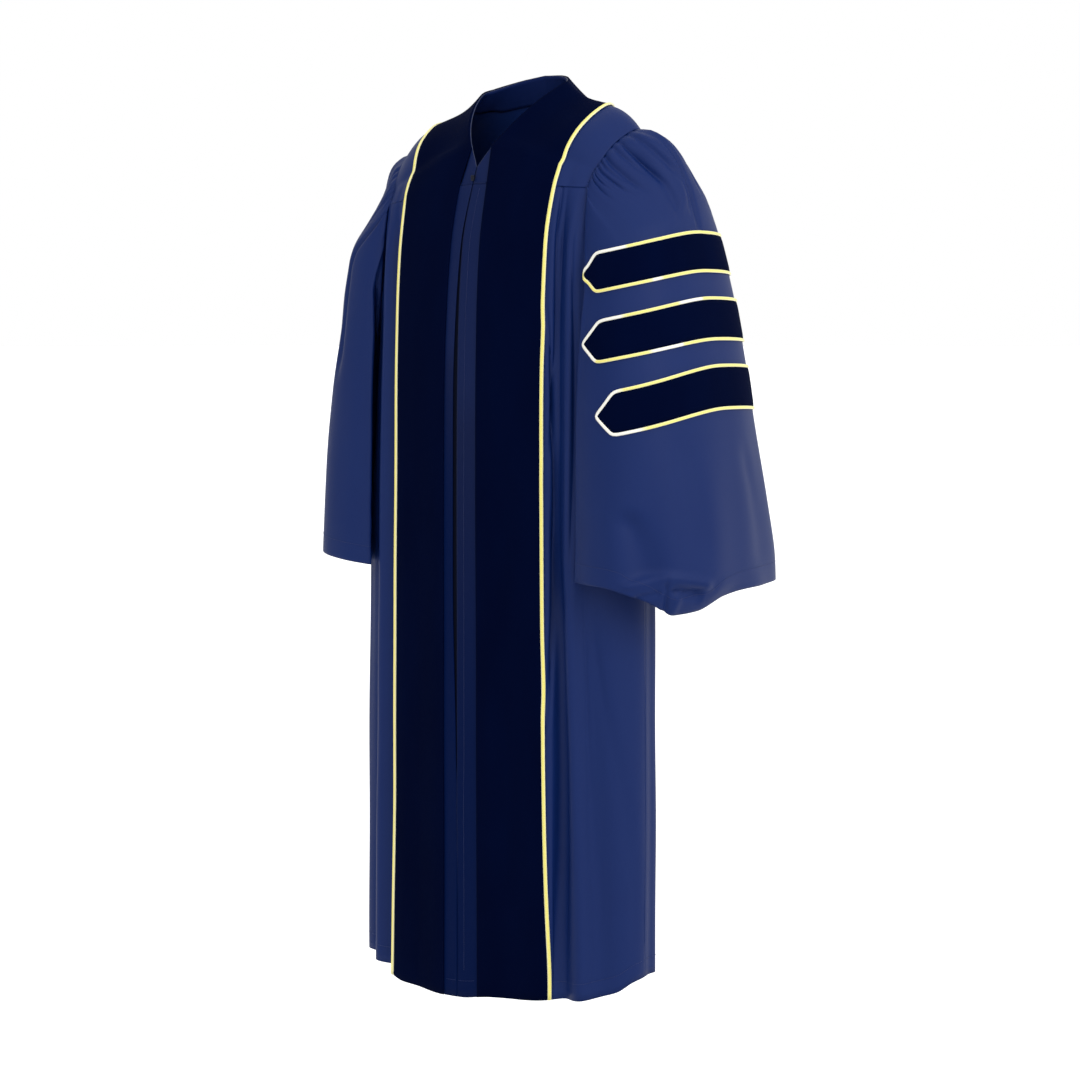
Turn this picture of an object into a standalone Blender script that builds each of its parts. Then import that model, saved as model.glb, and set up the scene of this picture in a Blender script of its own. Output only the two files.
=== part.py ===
"""Doctoral graduation gown, filled out as if worn, with no wearer.

The frame: metres, +Z up, the gown's front faces -Y and the wearer's left is +X.
The origin is the nape, at the neckline's centre back, where the wearer holds the gown up.
Heights are measured from the nape, so they are negative. Each cloth piece is an open grid of
points on one shared surface, and a Solidify modifier makes it a thin wall. What is sewn on a
panel is made from that panel's own points, moved out.
"""

import math

import bpy
import numpy as np

# Cloth
WALL = 0.0014             # shell cloth with its seam allowances
VELVET = 0.0016
SEAM_GAP = 0.0004         # between stacked layers and between pieces that a seam joins
PANEL_GAP = 0.0007        # below the yoke, where two walls end against each other
ARMHOLE_GAP = 0.0016      # wider, because the two walls meet at an angle there
SLEEVE_CLEARANCE = 0.0092  # between a sleeve and the side of the body

# Heights
HEM_Z = -1.290
FRONT_SEAM_Z = -0.158     # front yoke seam at the centre
FRONT_SEAM_DROP = 0.009   # how much lower it is at the armhole
BACK_SEAM_Z = -0.156
UNDERARM_Z = -0.345
CORNER_DROP_BACK = 0.004  # how much lower the back seam is at the armhole
SEAM_SECTION_Z = -0.160   # the section on which the seams' and armholes' lengths are measured
ZIP_END_Z = -1.270

# The right shoulder's drop for each metre from the centre, in full above one height and gone below the other
RIGHT_SLOPE = 0.085
SLOPE_FULL_Z = -0.120
SLOPE_END_Z = -0.420

# Front opening and velvet bands, measured along the cloth from the centre front
CORNER_S = 0.1850         # centre front to the armhole corner of the yoke seam
BACK_CORNER_S = 0.1720    # centre back to the armhole corner of the back yoke seam
PIPING_WIDTH = 0.0056
PIPING_HEIGHT = 0.0036
BAR_PIPING_WIDTH = 0.0046
BAR_PIPING_HEIGHT = 0.0030
SLIDER_SIZE = (0.0058, 0.0030, 0.0080)
SLIDER_Z = -0.1500

OPENING_ROWS = (
    # z, s of the closed edges, to the wearer's right of the centre front, and the gap between them
    (-0.134, 0.0000, 0.0020),
    (-0.158, -0.0015, 0.0020),
    (-0.200, -0.0050, 0.0024),
    (-0.250, -0.0070, 0.0026),
    (-0.980, -0.0070, 0.0026),
    (-1.060, -0.0070, 0.0010),
    (-1.310, -0.0070, 0.0010),
)

HEM_ROWS = (
    # s from the centre front, z
    (-0.600, -1.276),
    (-0.300, -1.280),
    (-0.240, -1.282),
    (-0.170, -1.290),
    (-0.130, -1.304),
    (-0.045, -1.305),
    (0.000, -1.303),
    (0.050, -1.294),
    (0.100, -1.290),
    (0.140, -1.286),
    (0.200, -1.280),
    (0.240, -1.271),
    (0.270, -1.256),
    (0.300, -1.252),
    (0.600, -1.276),
)

BAND_ROWS = (
    # z, inner_s, outer_s, both sides of the centre front alike
    (-0.158, 0.0250, 0.1325),
    (-0.236, 0.0265, 0.1300),
    (-0.456, 0.0290, 0.1305),
    (-0.735, 0.0300, 0.1330),
    (-1.013, 0.0305, 0.1360),
    (-1.300, 0.0310, 0.1440),
)

# The body's horizontal sections: flat rounded ovals
BODY_ROWS = (
    # z, half_width, front_y, back_y, centre_y, squareness
    (-0.150, 0.2240, -0.1550, 0.0300, -0.0600, 2.60),
    (-0.240, 0.2220, -0.1740, 0.0370, -0.0680, 2.45),
    (-0.340, 0.2230, -0.1830, 0.0370, -0.0740, 2.25),
    (-0.460, 0.2320, -0.1870, 0.0330, -0.0800, 2.10),
    (-0.700, 0.2410, -0.1890, 0.0260, -0.0830, 2.05),
    (-1.000, 0.2450, -0.1890, 0.0220, -0.0840, 2.05),
    (-1.300, 0.2460, -0.1900, 0.0220, -0.0860, 2.05),
)

# Folds and pleats in the fronts. s is measured from the centre front, a depth below 0 is a trough.
FRONT_FOLDS = {
    "left": (
        # s_seam, s_thigh, s_hem, width_seam, width_hem, depth_top, depth_low, z_from, z_to
        (0.1540, 0.1570, 0.1680, 0.0060, 0.0120, -0.0110, -0.0110, -0.150, -1.400),
        (0.1720, 0.1760, 0.1930, 0.0080, 0.0140, 0.0050, 0.0060, -0.150, -1.400),
        (0.2000, 0.2050, 0.2250, 0.0120, 0.0180, -0.0040, -0.0050, -0.300, -1.400),
        (0.0700, 0.0760, 0.0840, 0.0240, 0.0260, -0.0018, -0.0034, -0.500, -1.400),
    ),
    "right": (
        (0.1520, 0.1500, 0.1620, 0.0060, 0.0120, -0.0095, -0.0115, -0.150, -1.400),
        (0.1700, 0.1760, 0.1880, 0.0080, 0.0120, 0.0050, 0.0080, -0.150, -1.400),
        (0.1900, 0.2030, 0.2140, 0.0090, 0.0110, -0.0050, -0.0080, -0.220, -1.400),
        (0.2300, 0.2380, 0.2400, 0.0100, 0.0120, 0.0030, 0.0060, -0.500, -1.400),
        (0.0760, 0.0820, 0.0860, 0.0240, 0.0260, -0.0015, -0.0040, -0.500, -1.400),
    ),
}

# Flutes that fall from the back yoke seam, each one a trough between two ridges
BACK_FLUTES = 13
FLUTE_DEPTH_ROWS = (
    # z, depth
    (-0.156, 0.0012),
    (-0.200, 0.0038),
    (-0.320, 0.0062),
    (-0.700, 0.0078),
    (-1.300, 0.0105),
)

# Neckline, from the top of the opening round to the nape
NECK_ROWS = (
    # step, x, y, z
    (0.00, 0.0000, -0.1500, -0.1345),
    (0.22, 0.0200, -0.1370, -0.1040),
    (0.42, 0.0377, -0.1190, -0.0770),
    (0.60, 0.0570, -0.0880, -0.0450),
    (0.74, 0.0720, -0.0470, -0.0180),
    (0.82, 0.0640, -0.0300, -0.0120),
    (0.88, 0.0510, -0.0150, -0.0065),
    (0.94, 0.0270, -0.0040, -0.0016),
    (1.00, 0.0000, 0.0000, 0.0000),
)
BAND_MEETS_NECK = 0.20    # the step where the band's inner edge reaches the neckline

# The yoke over the shoulder: each row is a line from the neck side out to the outer edge
YOKE_ROWS = (
    # step, neck_step, outer_x, outer_y, outer_z, band_share, bulge
    (0.10, 0.20, 0.1815, -0.1220, -0.1500, 0.690, 0.0020),
    (0.28, 0.34, 0.1860, -0.1120, -0.1330, 0.662, 0.0040),
    (0.40, 0.54, 0.1950, -0.0880, -0.1050, 0.626, 0.0050),
    (0.52, 0.72, 0.2040, -0.0520, -0.0870, 0.570, 0.0045),
    (0.64, 0.82, 0.1990, -0.0200, -0.1060, 0.520, 0.0020),
    (0.71, 0.87, 0.1910, -0.0030, -0.1290, 0.490, 0.0045),
)
NECK_TOP_Z = -0.1340      # the neckline's lowest point, at the opening
NECK_HOLLOW = 0.0065      # the shoulder line dips beside the neck and rises before the tip
YOKE_FRONT_STEP = 0.10    # where the yoke's inner edge leaves the band strip for the neckline
YOKE_BACK_STEP = 0.78     # the line that ends in the back corner

# Sleeve sections, measured across the gown
SLEEVE_ROWS = (
    # z, centre_x, centre_y, half_x, front_reach, back_reach, squareness
    (-0.085, 0.1950, -0.0500, 0.0100, 0.0200, 0.0200, 2.0),
    (-0.100, 0.1950, -0.0460, 0.0440, 0.0460, 0.0420, 2.0),
    (-0.130, 0.1950, -0.0380, 0.0670, 0.0760, 0.0680, 2.1),
    (-0.180, 0.1980, -0.0320, 0.0820, 0.1040, 0.0920, 2.2),
    (-0.235, 0.2060, -0.0290, 0.0860, 0.1200, 0.1080, 2.3),
    (-0.340, 0.2160, -0.0240, 0.0950, 0.1360, 0.1240, 2.4),
    (-0.455, 0.2280, -0.0195, 0.0990, 0.1520, 0.1380, 2.4),
    (-0.700, 0.2410, -0.0055, 0.1060, 0.1770, 0.1700, 2.4),
    (-0.760, 0.2410, -0.0050, 0.1060, 0.1790, 0.1720, 2.4),
)
RIGHT_WIDTH_ROWS = (
    # z, the right sleeve's width beside the left one's: it hangs closer to the body
    (-0.100, 1.06),
    (-0.200, 1.01),
    (-0.300, 0.94),
    (-0.450, 0.88),
    (-0.700, 0.93),
)
CUFF_ROWS = {
    # turn round the outer cloth from the front edge (-1) by the outermost point (0) to the back edge (1), z
    "left": (
        (-1.00, -0.6980),
        (-0.80, -0.7010),
        (-0.58, -0.7190),
        (-0.42, -0.7440),
        (-0.28, -0.7390),
        (-0.12, -0.7160),
        (0.10, -0.7090),
        (0.50, -0.7080),
        (1.00, -0.6980),
    ),
    "right": (
        (-1.00, -0.7000),
        (-0.60, -0.6840),
        (-0.20, -0.6580),
        (0.20, -0.6540),
        (0.60, -0.6740),
        (1.00, -0.6950),
    ),
}

# Velvet bars round the outside of each sleeve
BARS = (
    # name, z at the front tip, z at the outermost point, z at the back tip, turn of the front tip, height
    ("upper", -0.2820, -0.2530, -0.2740, -0.945, 0.0465),
    ("middle", -0.3760, -0.3430, -0.3660, -0.945, 0.0495),
    ("lower", -0.4710, -0.4350, -0.4590, -0.880, 0.0520),
)
BAR_BACK_TURN = 0.820
RIGHT_BAR_TURN = -0.420   # on the right sleeve the bars start further round, out of the photo's sight
BAR_POINT = 0.0240

# Soft troughs and ridges lower down the sleeves
SLEEVE_FOLDS = (
    # turn, width, depth, z_from, z where it is full
    (-0.55, 0.10, -0.0060, -0.500, -0.680),
    (-0.20, 0.12, 0.0040, -0.420, -0.650),
    (0.25, 0.10, -0.0050, -0.380, -0.620),
    (0.62, 0.09, -0.0080, -0.260, -0.560),
    (0.82, 0.08, 0.0050, -0.300, -0.600),
)
GATHER_DEPTH = 0.0026
HEAD_BLEND = 0.0850       # the height over which the sleeve's head takes up its level sections
ROLL_IN = 0.020
ROLL_FROM_Z = -0.698
CUFF_INNER_Z = -0.6980
EDGE_AWAY = 0.0162        # where a sleeve's outer arc ends, away from the body
EDGE_TURN = 0.0020
NOSE_AWAY = 0.0040
ARMHOLE_SPLIT = 0.565     # share of the armhole from tip to underarm that the outer arc takes
ARMHOLE_YOKE_SHARE = 0.42  # share of it that lies on the yoke
YOKE_TIP_STEP = 0.52
START_AWAY = 0.0064       # the sleeve's first edge, away from the panel below the armhole

# Layers
CORD_OUTLINE = ((-0.50, 0.12), (-0.30, 1.0), (0.30, 1.0), (0.50, 0.12), (0.28, 0.0), (-0.28, 0.0))
LOOP_OUTLINE = ((-0.50, 0.0), (-0.28, 1.0), (0.28, 1.0), (0.50, 0.0))
BEYOND_BAND = 0.0080      # flat cloth beside a band, where its piping lies
BAND_AWAY = WALL / 2 + SEAM_GAP + VELVET / 2 + 0.0001
BAND_PIPING_AWAY = WALL / 2 + SEAM_GAP + 0.0004
BAR_AWAY = BAND_AWAY + 0.0004
BAR_PIPING_AWAY = WALL / 2 + SEAM_GAP + 0.0009
BAR_TIP_LIFT = 0.0010     # more near a bar's two points, where the loop turns
CORNER_CLEAR = 0.0007     # more room beside a bar's corners
FACING_WALL = 0.0010
FACING_AWAY = WALL / 2 + SEAM_GAP + FACING_WALL / 2 + 0.0002
ZIP_HALF_WIDTH = 0.0110

# Grid sizes
SECTION_STEPS = 240
FRONT_ROWS = 15
CORNER_COLUMNS = 5
SIDE_COLUMNS = 6
BACK_COLUMNS = 52
BACK_ROWS = 13
YOKE_STEP_ROWS = (
    0.0, 0.05, 0.10, 0.16, 0.22, 0.28, 0.34, 0.40, 0.46, 0.52, 0.58, 0.64, 0.71, 0.78, 0.85, 0.92, 1.0,
)
YOKE_STEPS = len(YOKE_STEP_ROWS)
FACING_STEPS = 8
SLEEVE_OUTER = 28
SLEEVE_INNER = 14
COLUMN_EVEN = 0.72        # the sleeve's columns stand closer together at its outermost line
HEAD_SHARES = (0.0, 0.14, 0.36, 0.66)
CUFF_SHARES = (0.28, 0.56, 0.80, 1.0)

COLOURS = {
    # name: base colour in linear light, roughness
    "gown_cloth": ((0.0200, 0.0400, 0.1420), 0.52),
    "velvet": ((0.0012, 0.0030, 0.0170), 0.90),
    "piping_satin": ((0.8800, 0.8200, 0.3600), 0.38),
    "neck_facing_cloth": ((0.0060, 0.0120, 0.0600), 0.70),
    "zip_tape_cloth": ((0.0040, 0.0080, 0.0300), 0.80),
    "slider_metal": ((0.0100, 0.0120, 0.0200), 0.40),
}


def ramp(t):
    """0 to 1 with level ends."""
    t = min(1.0, max(0.0, t))
    return t * t * (3 - 2 * t)


def read(rows, key):
    """A table read at a key: smooth, and never past the values of the two rows on either side."""
    keys = np.array([row[0] for row in rows], float)
    values = np.array([row[1:] for row in rows], float)
    if keys[-1] < keys[0]:
        keys, values = keys[::-1], values[::-1]
    if key <= keys[0]:
        return values[0]
    if key >= keys[-1]:
        return values[-1]
    i = int(np.searchsorted(keys, key, side="right")) - 1
    steps = np.diff(values, axis=0) / np.diff(keys)[:, None]

    def slope(j):
        if j == 0 or j == len(keys) - 1:
            return steps[0] if j == 0 else steps[-1]
        a, b = steps[j - 1], steps[j]
        same = a * b > 0
        return np.where(same, 2 * a * b / np.where(same, a + b, 1.0), 0.0)

    h = keys[i + 1] - keys[i]
    t = (key - keys[i]) / h
    return (
        (2 * t**3 - 3 * t**2 + 1) * values[i]
        + (t**3 - 2 * t**2 + t) * slope(i) * h
        + (-2 * t**3 + 3 * t**2) * values[i + 1]
        + (t**3 - t**2) * slope(i + 1) * h
    )


# The body surface

_sections = {}


def section(z):
    """The left half of the section at z, centre front to centre back: points and running lengths."""
    key = round(z, 5)
    if key not in _sections:
        width, front, back, centre, square = read(BODY_ROWS, z)
        turn = np.linspace(0, math.pi, SECTION_STEPS + 1)
        power = 2 / square
        x = width * np.abs(np.sin(turn)) ** power
        depth = np.where(turn < math.pi / 2, centre - front, back - centre)
        y = centre - np.sign(np.cos(turn)) * depth * np.abs(np.cos(turn)) ** power
        points = np.stack([x, y], 1)
        run = np.concatenate([[0], np.cumsum(np.linalg.norm(np.diff(points, axis=0), axis=1))])
        _sections[key] = (points, run)
    return _sections[key]


def side_s(z):
    """Cloth from the centre front to the side seam at z."""
    return float(section(z)[1][SECTION_STEPS // 2])


def back_s(z):
    """Cloth from the centre front round to the centre back at z."""
    return float(section(z)[1][-1])


def on_body(s, z):
    """The point at s along the smooth section, and its outward direction. s below 0 is the wearer's right."""
    points, run = section(z)
    side = -1.0 if s < 0 else 1.0
    reach = min(abs(s), run[-1])
    x = np.interp(reach, run, points[:, 0])
    y = np.interp(reach, run, points[:, 1])
    a = min(max(reach - 0.003, 0), run[-1] - 0.006)
    tx = np.interp(a + 0.006, run, points[:, 0]) - np.interp(a, run, points[:, 0])
    ty = np.interp(a + 0.006, run, points[:, 1]) - np.interp(a, run, points[:, 1])
    size = math.hypot(tx, ty)
    return np.array([side * x, y, z]), np.array([side * ty / size, -tx / size, 0.0])


def seam_z(s):
    """Height of the top edge of the body panels: yoke seams, and between them the armhole."""
    reach = abs(s)
    side = side_s(SEAM_SECTION_Z)
    whole = back_s(SEAM_SECTION_Z)
    if reach <= CORNER_S:
        return FRONT_SEAM_Z - FRONT_SEAM_DROP * ramp(reach / CORNER_S) ** 2
    if reach >= whole - BACK_CORNER_S:
        return BACK_SEAM_Z - CORNER_DROP_BACK * ramp((whole - reach) / BACK_CORNER_S) ** 2
    if reach <= side:
        t = (reach - CORNER_S) / (side - CORNER_S)
        top = FRONT_SEAM_Z - FRONT_SEAM_DROP
    else:
        t = (whole - BACK_CORNER_S - reach) / (whole - BACK_CORNER_S - side)
        top = BACK_SEAM_Z - CORNER_DROP_BACK
    return top + (UNDERARM_Z - top) * (1 - (1 - t) ** 4) ** (1 / 1.5)


def front_fold(s, z):
    reach = abs(s)
    band_outer = read(BAND_ROWS, z)[1]
    total = 0.0
    for row in FRONT_FOLDS["left" if s >= 0 else "right"]:
        s_seam, s_thigh, s_hem, width_seam, width_hem, depth_top, depth_low, z_from, z_to = row
        along = (FRONT_SEAM_Z - z) / (FRONT_SEAM_Z - HEM_Z)
        if along < 0.5:
            centre = s_seam + (s_thigh - s_seam) * ramp(along * 2)
        else:
            centre = s_thigh + (s_hem - s_thigh) * ramp(along * 2 - 1)
        width = width_seam + (width_hem - width_seam) * ramp(along)
        depth = depth_top + (depth_low - depth_top) * ramp(along)
        depth *= 0.12 + 0.88 * ramp((min(z_from, FRONT_SEAM_Z) - z) / 0.10)
        if z > z_from:
            depth = 0.0
        if s_seam > band_outer:
            depth *= ramp((reach - band_outer - BEYOND_BAND) / 0.010)
        total += depth * math.exp(-(((reach - centre) / width) ** 2))
    return total


def back_fold(s, z):
    whole, side = back_s(z), side_s(z)
    across = (whole - abs(s)) / (whole - side)
    if s < 0:
        across = -across
    turns = across * BACK_FLUTES / 2
    uneven = 0.16 * math.sin(2.3 * turns + 0.7) + 0.05 * math.sin(4.1 * turns)
    depth = float(read(FLUTE_DEPTH_ROWS, z)[0])
    depth *= 0.80 + 0.20 * math.sin(1.7 * turns + 1.1)
    fade = 1 - ramp((abs(across) - 0.86) / 0.14)
    return depth * fade * math.cos(2 * math.pi * (turns + uneven))


def swell(s, z):
    """How far the body's folds can stand out at s, for what hangs beside them."""
    whole, side = back_s(z), side_s(z)
    if abs(s) <= side:
        return max(front_fold(s, z), 0.0)
    across = (whole - abs(s)) / (whole - side)
    return float(read(FLUTE_DEPTH_ROWS, z)[0]) * (1 - ramp((across - 0.80) / 0.20))


def cloth(s, z):
    """A point of the folded body cloth."""
    point, out = on_body(s, z)
    whole, side = back_s(z), side_s(z)
    t = (abs(s) - side) / (whole - side)
    return point + out * (front_fold(s, z) if t <= 0 else back_fold(s, z))


# Grids and their meshes

def normals(grid):
    """Outward directions at the points of a grid whose rows go down and columns go round."""
    down = np.gradient(grid, axis=0)
    along = np.gradient(grid, axis=1)
    cross = np.cross(down, along)
    return cross / np.maximum(np.linalg.norm(cross, axis=2, keepdims=True), 1e-12)


def material(name):
    made = bpy.data.materials.get(name)
    if made is None:
        colour, rough = COLOURS[name]
        made = bpy.data.materials.new(name)
        made.use_nodes = True
        shader = made.node_tree.nodes["Principled BSDF"]
        shader.inputs["Base Color"].default_value = (*colour, 1.0)
        shader.inputs["Roughness"].default_value = rough
        made.diffuse_color = (*colour, 1.0)
    return made


def settled(point):
    """The right shoulder hangs a little lower than the left, so all that lies on it comes down with it."""
    x, y, z = map(float, point)
    return x, y, z + RIGHT_SLOPE * min(x, 0.0) * ramp((z - SLOPE_END_Z) / (SLOPE_FULL_Z - SLOPE_END_Z))


def add_mesh(name, points, faces, slot, thickness=None):
    mesh = bpy.data.meshes.new(name)
    mesh.from_pydata([settled(p) for p in points], [], faces)
    mesh.update()
    for face in mesh.polygons:
        face.use_smooth = True
    made = bpy.data.objects.new(name, mesh)
    GOWN.objects.link(made)
    mesh.materials.append(material(slot))
    if thickness:
        weld = made.modifiers.new("Weld", "WELD")
        weld.merge_threshold = 0.00005
        wall = made.modifiers.new("Wall", "SOLIDIFY")
        wall.thickness = thickness
        wall.offset = 0.0
        wall.use_even_offset = True
    return made


def grid_faces(rows, columns, closed=False, start=0, turned=0):
    """Two triangles a cell, split the same way in every layer. The first turned rows are split the other way."""
    last = columns if closed else columns - 1
    faces = []
    for r in range(rows - 1):
        for c in range(last):
            a = start + r * columns + c
            b = start + r * columns + (c + 1) % columns
            d, e = a + columns, b + columns
            if r < turned:
                faces += [(a, b, d), (b, e, d)]
            else:
                faces += [(a, b, e), (a, e, d)]
    return faces


def sheet(name, grid, slot, thickness, closed=False, turned=0):
    rows, columns = grid.shape[:2]
    faces = grid_faces(rows, columns, closed, turned=turned)
    return add_mesh(name, grid.reshape(-1, 3), faces, slot, thickness)


def swept(name, centres, across, out, width, height, slot, closed=False):
    """A cord with a low section along a line that lies on a panel, in a closed loop or with filled ends."""
    outline = LOOP_OUTLINE if closed else CORD_OUTLINE
    points = []
    for centre, side, up in zip(centres, across, out):
        for u, v in outline:
            points.append(centre + side * (u * width) + up * (v * height))
    sides = len(outline)
    count = len(centres)
    faces = []
    for i in range(count if closed else count - 1):
        j = (i + 1) % count
        for k in range(sides):
            n = (k + 1) % sides
            faces.append((i * sides + k, i * sides + n, j * sides + n, j * sides + k))
    if not closed:
        faces.append(tuple(range(sides - 1, -1, -1)))
        faces.append(tuple((count - 1) * sides + k for k in range(sides)))
    middle = sum(points[:sides]) / sides
    first = [points[k] - middle for k in range(sides)]
    ahead = sum(points[sides:2 * sides]) / sides - middle
    turn = sum(np.cross(first[k], first[(k + 1) % sides]) for k in range(sides))
    if np.dot(turn, ahead) < 0:
        faces = [tuple(reversed(face)) for face in faces]
    return add_mesh(name, points, faces, slot)


# Body panels

def opening_s(side, z):
    """The closed edge of one front, half the gap away from the other."""
    middle, gap = read(OPENING_ROWS, z)
    return float(middle if side == "left" else -middle) + float(gap) / 2


def front_columns(side, z):
    """Distances from the centre front of one front's columns: strip, band, and the part beyond it."""
    inner, outer = read(BAND_ROWS, z)
    edge = opening_s(side, z)
    corner = CORNER_S + 0.010 * ramp((FRONT_SEAM_Z - z) / 0.8)
    end = side_s(z) - SEAM_GAP / 2 - 0.0003
    first = outer + BEYOND_BAND
    columns = [edge, (edge + inner) / 2]
    columns += [inner + (outer - inner) * k / 4 for k in range(5)]
    columns += [first + (corner - first) * k / CORNER_COLUMNS for k in range(CORNER_COLUMNS)]
    columns += [corner + (end - corner) * k / SIDE_COLUMNS for k in range(SIDE_COLUMNS + 1)]
    return columns


def down_steps(count, first=0.55):
    """Shares of a panel's height, closer together near the top."""
    return [first * t + (1 - first) * t * t for t in np.linspace(0, 1, count)]


def hem_z(s):
    return float(read(HEM_ROWS, s)[0])


def front_grid(side):
    sign = 1 if side == "left" else -1
    count = len(front_columns(side, -0.2))
    grid = np.zeros((FRONT_ROWS, count, 3))
    for c in range(count):
        top = seam_z(front_columns(side, SEAM_SECTION_Z)[c]) - PANEL_GAP
        low = hem_z(sign * front_columns(side, HEM_Z)[c])
        for r, share in enumerate(down_steps(FRONT_ROWS)):
            z = top + (low - top) * share
            grid[r, c] = cloth(sign * front_columns(side, z)[c], z)
    return grid


def back_grid():
    grid = np.zeros((BACK_ROWS, BACK_COLUMNS + 1, 3))
    for c in range(BACK_COLUMNS + 1):
        across = 1 - 2 * c / BACK_COLUMNS
        side = 1 if across >= 0 else -1

        def place(z):
            whole, at_side = back_s(z), side_s(z) + SEAM_GAP / 2 + 0.0003
            return side * (whole - (whole - at_side) * abs(across))

        top = seam_z(place(SEAM_SECTION_Z)) - PANEL_GAP
        low = hem_z(place(HEM_Z))
        for r, share in enumerate(down_steps(BACK_ROWS)):
            z = top + (low - top) * share
            grid[r, c] = cloth(place(z), z)
    return grid


# Yoke

def neck(step):
    return np.array(read(NECK_ROWS, step))


def yoke_line(step):
    """The inner end, outer end, band share and bulge of one line across the left half of the yoke."""
    corner_z = seam_z(CORNER_S)
    back_at = back_s(SEAM_SECTION_Z) - BACK_CORNER_S
    corner = cloth(CORNER_S, corner_z)
    back_corner = cloth(back_at + 0.0002, BACK_SEAM_Z - CORNER_DROP_BACK)
    rows = [(0.0, 0.0, *corner, 0.672, 0.0)]
    rows += YOKE_ROWS
    rows += [(YOKE_BACK_STEP, 0.91, *back_corner, 0.480, 0.0070)]
    rows += [(1.0, 1.0, 0.0, back_corner[1], back_corner[2], 0.470, 0.0050)]
    neck_step, x, y, z, share, bulge = read(rows, step)
    inner = neck(neck_step)
    outer = np.array([x, y, z])
    if step < YOKE_FRONT_STEP:
        low_s = read(BAND_ROWS, FRONT_SEAM_Z)[0]
        low = cloth(low_s, seam_z(low_s))
        inner = low + (neck(BAND_MEETS_NECK) - low) * (step / YOKE_FRONT_STEP)
    if step > YOKE_BACK_STEP:
        t = (step - YOKE_BACK_STEP) / (1 - YOKE_BACK_STEP)
        s = back_at + (back_s(SEAM_SECTION_Z) - back_at) * t
        outer = cloth(s, seam_z(s))
        outer[0] *= 1.0 if t < 1 else 0.0
    return inner, outer, share, bulge


def yoke_shares(step):
    inner, outer, share, _ = yoke_line(step)
    past = share + BEYOND_BAND / float(np.linalg.norm(outer - inner))
    return [share * k / 4 for k in range(5)] + [past, (past + 1) / 2, 1.0]


def yoke_point(step, share):
    """A point of the left half of the yoke, share 0 at the neck and 1 at the outer edge."""
    inner, outer, _, bulge = yoke_line(step)
    point = inner + (outer - inner) * share
    ahead, behind = yoke_line(min(step + 0.02, 1.0)), yoke_line(max(step - 0.02, 0.0))
    along = (ahead[0] + (ahead[1] - ahead[0]) * share) - (behind[0] + (behind[1] - behind[0]) * share)
    out = np.cross(outer - inner, along)
    out /= np.linalg.norm(out)
    if np.dot(out, point - np.array([0.0, -0.06, -0.30])) < 0:
        out = -out
    hollow = NECK_HOLLOW * ramp((step - 0.16) / 0.24) * (1 - ramp((step - 0.62) / 0.25))
    point = point + out * (bulge * 4 * share * (1 - share) - hollow * math.sin(2 * math.pi * share))
    first = yoke_line(0.0)
    low_s = float(read(BAND_ROWS, FRONT_SEAM_Z)[0])
    s = low_s + (CORNER_S - low_s) * share
    seam = cloth(s, seam_z(s)) - (first[0] + (first[1] - first[0]) * share)
    return point + seam * (1 - ramp(step / 0.30))


def yoke_grid(sign):
    steps = YOKE_STEP_ROWS
    grid = np.zeros((len(steps), 8, 3))
    for r, step in enumerate(steps):
        for c, share in enumerate(yoke_shares(step)):
            grid[r, c] = yoke_point(step, share)
    grid[-1, :, 0] = 0.0
    grid[:, :, 0] *= sign
    return grid


def yoke_strip(side):
    """The small triangle of yoke between the opening, the neckline and the band's inner edge."""
    sign = 1 if side == "left" else -1
    seam = cloth(sign * opening_s(side, FRONT_SEAM_Z), FRONT_SEAM_Z)
    neck_point = neck(0.0) * (sign, 1, 1)
    neck_point[0] = sign * opening_s(side, NECK_TOP_Z)
    top = neck(BAND_MEETS_NECK) * (sign, 1, 1)
    low_inner = yoke_point(0.0, 0.0) * (sign, 1, 1)
    mid_inner = yoke_point(YOKE_FRONT_STEP / 2, 0.0) * (sign, 1, 1)
    points = [seam, (seam + low_inner) / 2, low_inner, neck_point, mid_inner, top]
    mid = (neck_point + mid_inner) / 2
    points.append(mid)
    return points, [(0, 1, 6), (0, 6, 3), (1, 2, 4), (1, 4, 6), (3, 6, 5), (6, 4, 5)]


def out_of(grid):
    """Outward directions of a grid, away from the middle of the gown."""
    found = normals(grid)
    middle = np.array([0.0, -0.07, 0.0])
    away = grid - middle
    away[:, :, 2] = np.maximum(grid[:, :, 2] + 0.30, 0.0)
    if np.sum(found * away) < 0:
        found = -found
    return found


# Sleeves, worked out for the left one and mirrored

_rings = {}
_sleeves = {}


def beside(sign, s, z, away):
    """A point beside the body, away from its folds, in the left sleeve's own sense."""
    point, out = on_body(s, z)
    return point + out * (away + swell(sign * s, z))


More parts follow.
